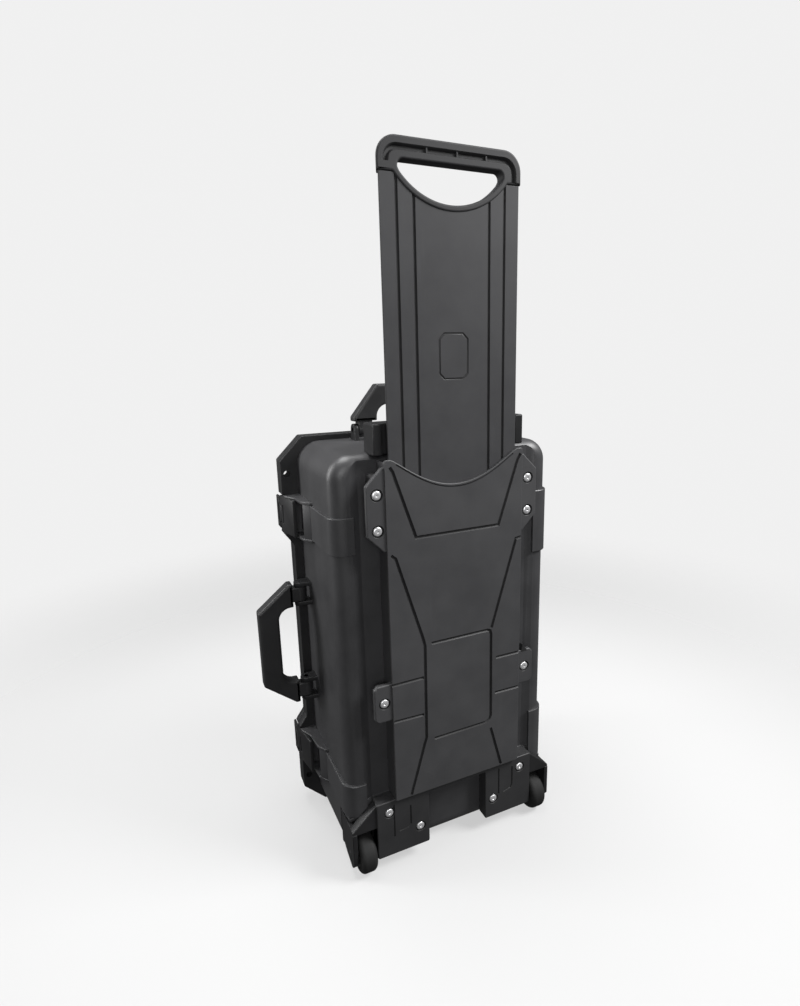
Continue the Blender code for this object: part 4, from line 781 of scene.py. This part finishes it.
def boss(z):
    # two cheeks from the rim to the wall, a wedge behind the pocket and a bed under the lever
    cheekLine = [(-150 * mm, -3 * mm), (-175 * mm, -3 * mm), (-174 * mm, -12 * mm), (-165.5 * mm, -30 * mm),
                 (-162.5 * mm, -57 * mm), (-154.5 * mm, -70 * mm), (-150 * mm, -70 * mm)]
    cheek = filleted(cheekLine, [0, 0.8 * mm, 3 * mm, 6 * mm, 3 * mm, 3 * mm, 0], 4)
    wedge = filleted([(-150 * mm, -56.5 * mm), (-160.5 * mm, -56.5 * mm), (-161.5 * mm, -58.5 * mm),
                      (-154 * mm, -69.5 * mm), (-150 * mm, -69.5 * mm)], [0, 1 * mm, 1.5 * mm, 3 * mm, 0], 4)
    bed = filleted([(-150 * mm, -3 * mm), (-164 * mm, -3 * mm), (-163.6 * mm, -23 * mm),
                    (-150 * mm, -23 * mm)], [0, 0.5 * mm, 1 * mm, 0], 3)
    made = [board(cheek, "Z", z + s * 24.4 * mm - 2.0 * mm, z + s * 24.4 * mm + 2.0 * mm, 0.8 * mm,
                  3) for s in (-1, 1)]
    made.append(board(wedge, "Z", z - 24 * mm, z + 24 * mm, 0.6 * mm, 2))
    made.append(board(bed, "Z", z - 24 * mm, z + 24 * mm, 0.6 * mm, 2))
    return made


def lugShape(direction, along, pin, wall):
    # a lug: a foot in the wall and a round end about the pin
    r, foot = 8 * mm, 10 * mm
    if direction == "left":
        x, y = pin
        loop = np.concatenate([[(wall, y + foot)], arcPoints((x, y), r, 90, 270, 14), [(wall, y - foot)]])
        return board(loop, "Z", along - 3 * mm, along + 3 * mm, 0.7 * mm, 2)
    y, z = pin
    loop = np.concatenate([[(y + foot, wall)], arcPoints((y, z), r, 0, 180, 14), [(y - foot, wall)]])
    return board(loop, "X", along - 3 * mm, along + 3 * mm, 0.7 * mm, 2)


def jointOf(name):
    # the frame's joint of that name
    return next(j for j in frame["joints"] if j["name"] == name)


sidePin = Vector(jointOf("side_handle_hinge")["pos_m"])
topPin = Vector(jointOf("top_handle_hinge")["pos_m"])
hingePin = Vector(jointOf("lid_hinge")["pos_m"])
parting = hingePin.y
handle = {
    "reach": 59 * mm, "bar": 27 * mm, "thick": 19 * mm, "leg": 33 * mm, "taper": 34 * mm,
    "side": 174 * mm, "top": 160 * mm, "lugs": (30 * mm, 3 * mm),
}


def lugPlaces(length):
    # two lugs near each end: plus and minus (half the length - inset)
    return [s * (length / 2 - inset) for s in (-1, 1) for inset in handle["lugs"]]


def knuckleShapes(onLid):
    # barrel rings on the hinge line with an arm to the rim each
    made = []
    for z in rows.values():
        pitch = 16.8 * mm
        for k in ((0,) if onLid else (-1, 1)):
            at, s = z + k * pitch, (1 if onLid else -1)
            made.append(rod((hingePin.x, parting, at), "Z", 6 * mm, 15.9 * mm, 0.5 * mm))
            edge, far = parting + s * 1.6 * mm, parting + s * 5.6 * mm
            root = hingePin.x - 11.5 * mm
            loop = [(root, edge), (hingePin.x - 1 * mm, edge), (hingePin.x - 1 * mm, far),
                    (root, parting + s * 9 * mm)]
            made.append(board(loop, "Z", at - 7.9 * mm, at + 7.9 * mm, 0.3 * mm, 1))
    return made


def makeShells():
    baseTray = tray(3 * mm, shell["back"], shell["floor"], shell["backRound"])
    mouth = shell["back"] - 0.4 * mm
    trough = [(-128 * mm, mouth), (-116 * mm, -145 * mm), (116 * mm, -145 * mm), (128 * mm, mouth),
              (128 * mm, -175 * mm), (-128 * mm, -175 * mm)]
    channel = board(filleted(trough, [2 * mm, 2 * mm, 2 * mm, 2 * mm, 0, 0], 3), "Z", 100 * mm, 620 * mm,
                    0.4 * mm, 1)
    wells = []
    for s in (-1, 1):
        x0, x1 = sorted((s * 112.7 * mm, s * 190 * mm))
        wells.append(board(roundRect(x0, -20 * mm, x1, 73 * mm, 4 * mm), "Y", -190 * mm, -112 * mm, 2 * mm,
                           2))
    piece("baseTray", baseTray, "base", shellFinish, cutters=[channel, *wells],
          stands=["base_shell"])
    wellWalls = []
    for s in (-1, 1):
        a, b = sorted((s * 109 * mm, s * 148.5 * mm))
        loop = roundRect(a, 11 * mm, b, 77 * mm, 4 * mm)
        wellWalls.append(board(loop, "Y", -112 * mm, -108 * mm, 1 * mm, 2))
        x0, x1 = sorted((s * 109 * mm, s * 112.9 * mm))
        wellWalls.append(board(roundRect(x0, 11 * mm, x1, 77 * mm, 1 * mm, 2), "Y", -146 * mm, -109 * mm,
                               0.5 * mm, 1))
        wellWalls.append(board(roundRect(a, 72.8 * mm, b, 77 * mm, 1 * mm, 2), "Y", -146 * mm, -109 * mm,
                               0.5 * mm, 1))
    piece("wheelWellWalls", together(*wellWalls), "base", shellFinish)
    bands = [band(z - 23 * mm, z + 22 * mm) for z in rows.values()]
    hingeBands = [band(low, high) for low, high in ((397 * mm, 481 * mm), (79 * mm, 157 * mm))]
    bands += [facingOut((p * [-1, 1, 1], q, t)) for p, q, t in hingeBands]
    piece("baseBands", together(*bands), "base", shellFinish)
    rim = board([rimOutline(), mouthHole()], "Y", parting - 14 * mm, parting - 0.2 * mm, 1.1 * mm, 3)
    piece("baseRim", rim, "base", trimFinish, cutters=eyeTools())
    piece("latchBosses", together(*[b for z in rows.values() for b in boss(z)]), "base",
          shellFinish)
    wall = -shell["half"] + 3 * mm
    lugs = [lugShape("left", caseTop / 2 + a, (sidePin.x, sidePin.y),
                     wall) for a in lugPlaces(handle["side"])]
    lugs += [lugShape("up", a, (topPin.y, topPin.z),
                      caseTop - shell["low"] - 3 * mm) for a in lugPlaces(handle["top"])]
    piece("handleLugs", together(*lugs), "base", trimFinish)
    piece("baseKnuckles", together(*knuckleShapes(False)), "base", trimFinish)

    lidTray = tray(shell["lidStart"], shell["lidFace"], shell["lidFloor"], shell["lidRound"])
    piece("lidTray", lidTray, "lid", shellFinish, stands=["lid_shell"])
    seam = parting + 0.2 * mm
    lidRim = board([rimOutline(), mouthHole(2.2 * mm)], "Y", seam, parting + 11 * mm, 1.1 * mm, 3)
    piece("lidRim", lidRim, "lid", trimFinish, cutters=eyeTools())
    lidLugs = []
    for row, z in rows.items():
        px, py = jointOf(f"latch_clamp_{row}_hinge")["pos_m"][:2]
        loop = np.concatenate([[(-149.5 * mm, py - 12 * mm)], [(-149.5 * mm, py + 4 * mm)],
                               arcPoints((px, py), 4 * mm, 90, 180, 8), [(px - 4 * mm, py - 12 * mm)]])
        for s in (-1, 1):
            lidLugs.append(board(loop, "Z", z + s * 14.9 * mm - 2.4 * mm, z + s * 14.9 * mm + 2.4 * mm,
                                 0.5 * mm, 2))
    piece("lidLugs", together(*lidLugs, *knuckleShapes(True)), "lid", trimFinish)


makeShells()
print("shells made")


def handleLoop(length):
    # outline along the handle and outwards from its pins: cut-back outer corners and a rounded hand opening
    half, inner = length / 2, length / 2 - handle["leg"]
    flat, grip = half - handle["taper"], handle["reach"] - handle["bar"]
    corners = [(half, 11.2 * mm), (half, 17 * mm), (flat, handle["reach"]), (-flat, handle["reach"]),
               (-half, 17 * mm), (-half, 11.2 * mm),
               (-inner, 11.2 * mm), (-inner, grip), (inner, grip), (inner, 11.2 * mm)]
    radii = [1.5, 4, 4, 4, 4, 1.5, 1.5, 16, 16, 1.5]
    return filleted(corners, [r * mm for r in radii], 8)


def makeHandle(name, body, length, pin, turn):
    half = handle["thick"] / 2
    c = sum(handle["lugs"]) / 2
    main = board(handleLoop(length), "Z", -half, half, 3.6 * mm, 6)
    shapes = [main]
    for s in (-1, 1):
        u = s * (length / 2 - c)
        shapes.append(rod((u, 0, 0), "X", 8 * mm, 19.4 * mm, 0.8 * mm))
        neck = roundRect(u - 9.6 * mm, -2 * mm, u + 9.6 * mm, 14 * mm, 1 * mm, 2)
        shapes.append(board(neck, "Z", -7.6 * mm, 7.6 * mm, 0.8 * mm, 2))
    points, quads, triangles = together(*shapes)
    placed = points @ np.array(turn).T + np.array(pin)
    if np.linalg.det(np.array(turn)) < 0:
        quads, triangles = quads[:, ::-1], triangles[:, ::-1]
    # the handles take the paler trim moulding, painted light
    piece(name, (placed, quads, triangles), body, handleLitFinish, stands=[body])


makeHandle("sideHandleGrip", "side_handle", handle["side"], (sidePin.x, sidePin.y, caseTop / 2),
           [[0, -1, 0], [0, 0, 1], [1, 0, 0]])
makeHandle("topHandleGrip", "top_handle", handle["top"], (0, topPin.y, topPin.z),
           [[1, 0, 0], [0, 0, 1], [0, 1, 0]])
print("carry handles made")


def makeLatch(row):
    z = rows[row]
    clampPin = Vector(jointOf(f"latch_clamp_{row}_hinge")["pos_m"])
    leverPin = Vector(jointOf(f"latch_lever_{row}_hinge")["pos_m"])
    outer, strap = leverPin.x - 4 * mm, 3.5 * mm
    skirtLow, skirtHigh = leverPin.y + 6.6 * mm, clampPin.y + 2 * mm
    skirt = filleted([(outer, skirtLow), (outer + strap, skirtLow), (outer + strap, skirtHigh),
                      (outer + 2 * mm, skirtHigh), (outer, clampPin.y)],
                     [0.8 * mm, 0.5 * mm, 0.8 * mm, 1.2 * mm, 3 * mm], 3)
    arm = np.concatenate([[(outer + strap - 0.5 * mm, clampPin.y - 4 * mm)],
                          arcPoints((clampPin.x, clampPin.y), 4 * mm, -90, 90, 14),
                          [(outer + 2.5 * mm, clampPin.y + 4 * mm)]])
    neck = np.concatenate([[(outer, leverPin.y + 8 * mm)],
                           arcPoints((leverPin.x, leverPin.y), 4 * mm, 180, 400, 22),
                           [(outer + strap, leverPin.y + 8 * mm)]])
    slots = [board(roundRect(skirtLow + 2.5 * mm, z - 13 * mm, skirtLow + 7 * mm, z + 13 * mm, 1.2 * mm, 2),
                   "X", outer - 5 * mm, outer + 2.2 * mm, 0.4 * mm, 1)]
    clamp = together(
        board(skirt, "Z", z - 22 * mm, z + 22 * mm, 0.8 * mm, 3),
        board(arm, "Z", z - 12 * mm, z + 12 * mm, 0.5 * mm, 2),
        board(neck, "Z", z - 11.6 * mm, z + 11.6 * mm, 0.5 * mm, 2),
    )
    piece(f"latchClamp_{row}", clamp, f"latch_clamp_{row}", trimFinish, cutters=slots,
          stands=[f"latch_clamp_{row}"])
    endX, endY = outer + 8.5 * mm, leverPin.y - 42.5 * mm
    blade = np.concatenate([
        [(endX + 0.4 * mm, endY)], [(endX + strap, endY + 0.3 * mm)], [(endX + strap, endY + 5 * mm)],
        [(outer + strap + 1 * mm, leverPin.y - 5 * mm)],
        arcPoints((leverPin.x, leverPin.y), 4 * mm, -20, 180, 14), [(endX, endY + 0.6 * mm)],
    ])
    halfWide = 25 * mm
    full = board(blade, "Z", z - halfWide, z + halfWide, 0.8 * mm, 3)
    room = rod((leverPin.x, leverPin.y, z), "Z", 4.8 * mm, 24.8 * mm, 0.1 * mm)
    ribs = [board(roundRect(leverPin.y - 13 * mm, z - 13 * mm, leverPin.y - 7 * mm, z + 13 * mm, 1.2 * mm,
                            2), "X", outer - 6 * mm, outer + 2.4 * mm, 0.4 * mm, 1)]
    lip = board(roundRect(endX - 0.6 * mm, endY, endX + strap, endY + 3 * mm, 1.2 * mm, 3), "Z",
                z - halfWide + 1 * mm, z + halfWide - 1 * mm, 0.6 * mm, 2)
    piece(f"latchLever_{row}", full, f"latch_lever_{row}", trimFinish, cutters=[room, *ribs],
          stands=[f"latch_lever_{row}"])
    piece(f"latchLeverLip_{row}", lip, f"latch_lever_{row}", trimFinish)


for row in rows:
    makeLatch(row)
print("latches made")


def makeCollar():
    low, high = collarLow, collarHigh
    out, arm = high.x, 89.2 * mm
    inner = low.y + 7.5 * mm
    loop = filleted([(-out, high.y), (-out, low.y), (-arm, low.y), (-arm, inner), (arm, inner), (arm, low.y),
                     (out, low.y), (out, high.y)],
                    [4 * mm, 1.5 * mm, 1 * mm, 1 * mm, 1 * mm, 1 * mm, 1.5 * mm, 4 * mm], 4)
    piece("handleCollarBlock", board(loop, "Z", low.z + 2 * mm, high.z, 2 * mm, 4), "base",
          trimFinish, stands=["handle_collar"])


wheelLow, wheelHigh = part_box("wheel_tyre_right")
wheel = {
    "x": (wheelLow.x + wheelHigh.x) / 2, "y": (wheelLow.y + wheelHigh.y) / 2,
    "z": (wheelLow.z + wheelHigh.z) / 2,
    "r": (wheelHigh.z - wheelLow.z) / 2, "half": (wheelHigh.x - wheelLow.x) / 2,
}
bracket = {
    "face": bracketLow.y, "back": -149.3 * mm, "top": bracketHigh.z, "strip": 6.5 * mm, "gap": 43.5 * mm,
    "foot": 20 * mm,
    "cheek": wheelLow.x - 2 * mm, "inner": wheelLow.x - 6.3 * mm, "out": bracketHigh.x, "guard": 6 * mm,
    "roof": 66 * mm, "roofThick": 4.5 * mm,
    "near": bracketHigh.y,
}


def bracketLines():
    left = [[(-94, 95), (-94, 47)], [(-70.5, 86), (-70.5, 58), (-74, 54.5), (-87, 53)]]
    right = [[(65, 94), (65, 53)], [(87, 90), (87, 62), (84.5, 57), (73, 54)]]
    return [[(x * mm, z * mm) for x, z in line] for line in left + right]


def makeBracket():
    b = bracket
    plate = filleted([(-b["cheek"], b["top"]), (-b["cheek"], b["foot"]), (-b["gap"], b["foot"]),
                      (-b["gap"], b["top"] - b["strip"]),
                      (b["gap"], b["top"] - b["strip"]), (b["gap"], b["foot"]), (b["cheek"], b["foot"]),
                      (b["cheek"], b["top"])],
                     [1 * mm, 2 * mm, 2 * mm, 2 * mm, 2 * mm, 2 * mm, 2 * mm, 1 * mm], 3)
    cutters = [facingOut(grooveTool(line, b["face"],
                                    {"half": 1 * mm, "depth": 1.2 * mm,
                                     "proud": 0.8 * mm})) for line in bracketLines()]
    for name in screws:
        if name.startswith("bracket"):
            x, z, _ = screwPlace(name)
            cutters.append(seatTool(x, z, b["face"]))
    # the bracket's lines and screw seats take the painted groove shade
    piece("bracketPlate", board(plate, "Y", b["face"], b["back"], 1.1 * mm, 3), "base",
          bracketAndPostShadeFinish, lines=cutters, stands=["wheel_bracket"])
    forks = []
    for s in (-1, 1):
        gable = [(s * b["inner"], b["roof"]), (s * b["out"], b["roof"]),
                 (s * b["out"], b["roof"] + b["roofThick"]), (s * b["cheek"], b["top"] - 2 * mm),
                 (s * b["inner"], b["top"] - 2 * mm)]
        forks.append(board(filleted(gable, [0.5 * mm, 1 * mm, 2 * mm, 1 * mm, 0.5 * mm], 3), "Y",
                           b["face"] + 2 * mm, -152 * mm, 1 * mm, 3))
        x0, x1 = sorted((s * b["inner"], s * (b["out"] - 0.1 * mm)))
        forks.append(board(roundRect(x0, b["face"] + 3 * mm, x1, b["near"], 1 * mm, 2), "Z", b["roof"],
                           b["roof"] + b["roofThick"], 0.7 * mm, 2))
        y, face = wheel["y"], b["face"] + 1 * mm
        cheek = filleted([(face, b["roof"] + 2 * mm), (face, 24 * mm), (y - 8 * mm, 12.5 * mm),
                          (y + 12 * mm, 18 * mm), (b["near"], 28 * mm), (b["near"], b["roof"] + 2 * mm)],
                         [0.5 * mm, 4 * mm, 4 * mm, 4 * mm, 4 * mm, 0.5 * mm], 4)
        for a, c in ((b["inner"], b["cheek"]), (b["out"] - b["guard"], b["out"])):
            x0, x1 = sorted((s * a, s * c))
            forks.append(board(cheek, "X", x0, x1, 1 * mm, 3))
        forks.append(rod((s * (b["out"] - 0.3 * mm), y, wheel["z"]), "X", 6.5 * mm, 1.2 * mm, 0.4 * mm))
    piece("bracketForks", together(*forks), "base", trimFinish)


def makeWheels():
    for label, s in (("left", -1), ("right", 1)):
        centre = (s * wheel["x"], wheel["y"], wheel["z"])
        r, half, inner = wheel["r"], wheel["half"], 16.8 * mm
        crown = arcPoints((r - 7 * mm, half - 7 * mm), 7 * mm, 90, 0, 10)
        tread = np.concatenate([[(inner, half)], [(inner + 1.5 * mm, half)],
                                [(inner + 2.2 * mm, half - 0.5 * mm)],
                                crown, (crown * [1, -1])[::-1], [(inner + 1.5 * mm, -half)],
                                [(inner, -half)]])
        piece(f"wheelTyre_{label}", turnedShape(tread, centre, "X", 96, True), f"wheel_{label}",
              rubberFinish, stands=[f"wheel_tyre_{label}"])
        web = half - 4 * mm
        rim = np.array([(3.4 * mm, half), (5.8 * mm, half), (6.2 * mm, half - 0.4 * mm), (6.4 * mm, web),
                        (12.4 * mm, web), (13 * mm, half - 1 * mm), (13.6 * mm, half - 0.5 * mm),
                        (16.3 * mm, half - 0.5 * mm)])
        hub = turnedShape(np.concatenate([rim, (rim * [1, -1])[::-1]]), centre, "X", 64, True)
        spokes = []
        for k in range(6):
            turn = Matrix.Rotation(math.radians(60 * k), 3, "X")
            bar = board(roundRect(5.5 * mm, -1.1 * mm, 13.4 * mm, 1.1 * mm, 0.4 * mm, 1), "X",
                        -half + 1.5 * mm, half - 1.5 * mm, 0.3 * mm, 1)
            spokes.append((bar[0] @ np.array(turn).T + np.array(centre), bar[1], bar[2]))
        piece(f"wheelHub_{label}", together(hub, *spokes), f"wheel_{label}", trimFinish,
              stands=[f"wheel_hub_{label}"])


makeCollar()
makeBracket()
makeWheels()
print("wheels made")

for name, node in frame["nodes"].items():
    if "pin" in name or "axle" in name:
        node.data.materials.clear()
        node.data.materials.append(platedSteel)
    if name == "lid_seal":
        node.data.materials.clear()
        node.data.materials.append(rubberFinish)


studio = {
    "paper": (0.18, 0.18, 0.18), "glow": 0.53, "backdrop": 0.875, "near": 0.45, "far": 1.5, "radius": 1.6,
    "dome": 30.0,
    "ambient": 0.10,
}


def stand(name, shape, material):
    mesh = meshOf(name, shape)
    mesh.materials.append(material)
    item = bpy.data.objects.new(name, mesh)
    bpy.context.scene.collection.objects.link(item)
    return item


def paperFinish():
    # pale paper that fades out: alpha falls smoothly from 1 to 0 between two distances from the middle
    finish = Finish("paperFloor", {"Roughness": 0.95, "Specular IOR Level": 0.05, "Emission Strength": 1.0})
    away = finish.add("ShaderNodeVectorMath", {"operation": "LENGTH"}, {0: finish.place()}, 1)
    solid = 1 - away.above(studio["near"], studio["far"])
    finish.feed("Base Color", finish.blend(finish.noise(1.5, 2.0), studio["paper"], studio["paper"]))
    finish.feed("Alpha", solid)
    finish.shader.inputs["Emission Color"].default_value = (studio["glow"],) * 3 + (1,)
    return finish.material


def glowFinish():
    # an even glow, no reflection
    finish = Finish("backdropGlow",
                    {"Base Color": (0, 0, 0, 1), "Specular IOR Level": 0.0, "Emission Strength": 1.0})
    finish.shader.inputs["Emission Color"].default_value = (studio["backdrop"],) * 3 + (1,)
    return finish.material


floor = stand("floor",
              turnedShape([(0.01, -0.0002), (studio["radius"], -0.0002), (studio["radius"], -0.0001),
                           (0.01, -0.0001)], (0, 0, 0), "Z", 64), paperFinish())
angle = np.radians(np.linspace(-89.9, 89.9, 33))
dome = stand("backdrop",
             turnedShape(np.stack([np.cos(angle), np.sin(angle)], 1) * studio["dome"], (0, 0, 0), "Z", 64),
             glowFinish())
for item in (floor, dome):
    item.visible_diffuse = item.visible_glossy = item.visible_transmission = False
dome.visible_shadow = False

world = bpy.data.worlds.new("studio")
bpy.context.scene.world = world
world.use_nodes = True
world.node_tree.nodes["Background"].inputs["Color"].default_value = (1, 1, 1, 1)
world.node_tree.nodes["Background"].inputs["Strength"].default_value = studio["ambient"]

aim = Vector((0, -0.05, 0.4))


def softbox(name, place, size, watts):
    # a rectangular lamp turned towards the middle of the case
    lamp = bpy.data.lights.new(name, "AREA")
    lamp.shape, lamp.size, lamp.size_y = "RECTANGLE", size[0], size[1]
    lamp.energy = watts
    item = bpy.data.objects.new(name, lamp)
    item.location = place
    item.rotation_euler = (aim - Vector(place)).to_track_quat("-Z", "Y").to_euler()
    bpy.context.scene.collection.objects.link(item)


softbox("keyBox", (1.65, -1.1, 2.1), (1.0, 0.9), 116)
softbox("fillBox", (-0.9, -2.2, 1.2), (1.2, 1.0), 26)
softbox("topBox", (-0.25, 0.15, 2.3), (1.1, 1.1), 48)
softbox("sideBox", (-1.35, 0.55, 1.0), (0.35, 1.3), 22)

view = {"place": (-0.3164, -0.7385, 0.6395), "yaw": 23.03, "pitch": 12.43, "roll": -1.76, "lens": 25.07,
        "shift": (0.0009, -0.0113)}
yaw, pitch, roll = (math.radians(view[k]) for k in ("yaw", "pitch", "roll"))
ahead = Vector((math.sin(yaw) * math.cos(pitch), math.cos(yaw) * math.cos(pitch), -math.sin(pitch)))
right = Vector((math.cos(yaw), -math.sin(yaw), 0))
up = right.cross(ahead)
right, up = right * math.cos(roll) + up * math.sin(roll), up * math.cos(roll) - right * math.sin(roll)
lens = bpy.data.cameras.new("camera")
lens.sensor_fit, lens.sensor_width, lens.lens = "HORIZONTAL", 36, view["lens"]
lens.shift_x, lens.shift_y = view["shift"]
lens.clip_start = 0.02
camera = bpy.data.objects.new("camera", lens)
camera.matrix_world = Matrix.Translation(view["place"]) @ Matrix((right, up, -ahead)).transposed().to_4x4()
bpy.context.scene.collection.objects.link(camera)
bpy.context.scene.camera = camera
bpy.context.scene.view_settings.view_transform = "Standard"
print("studio made")
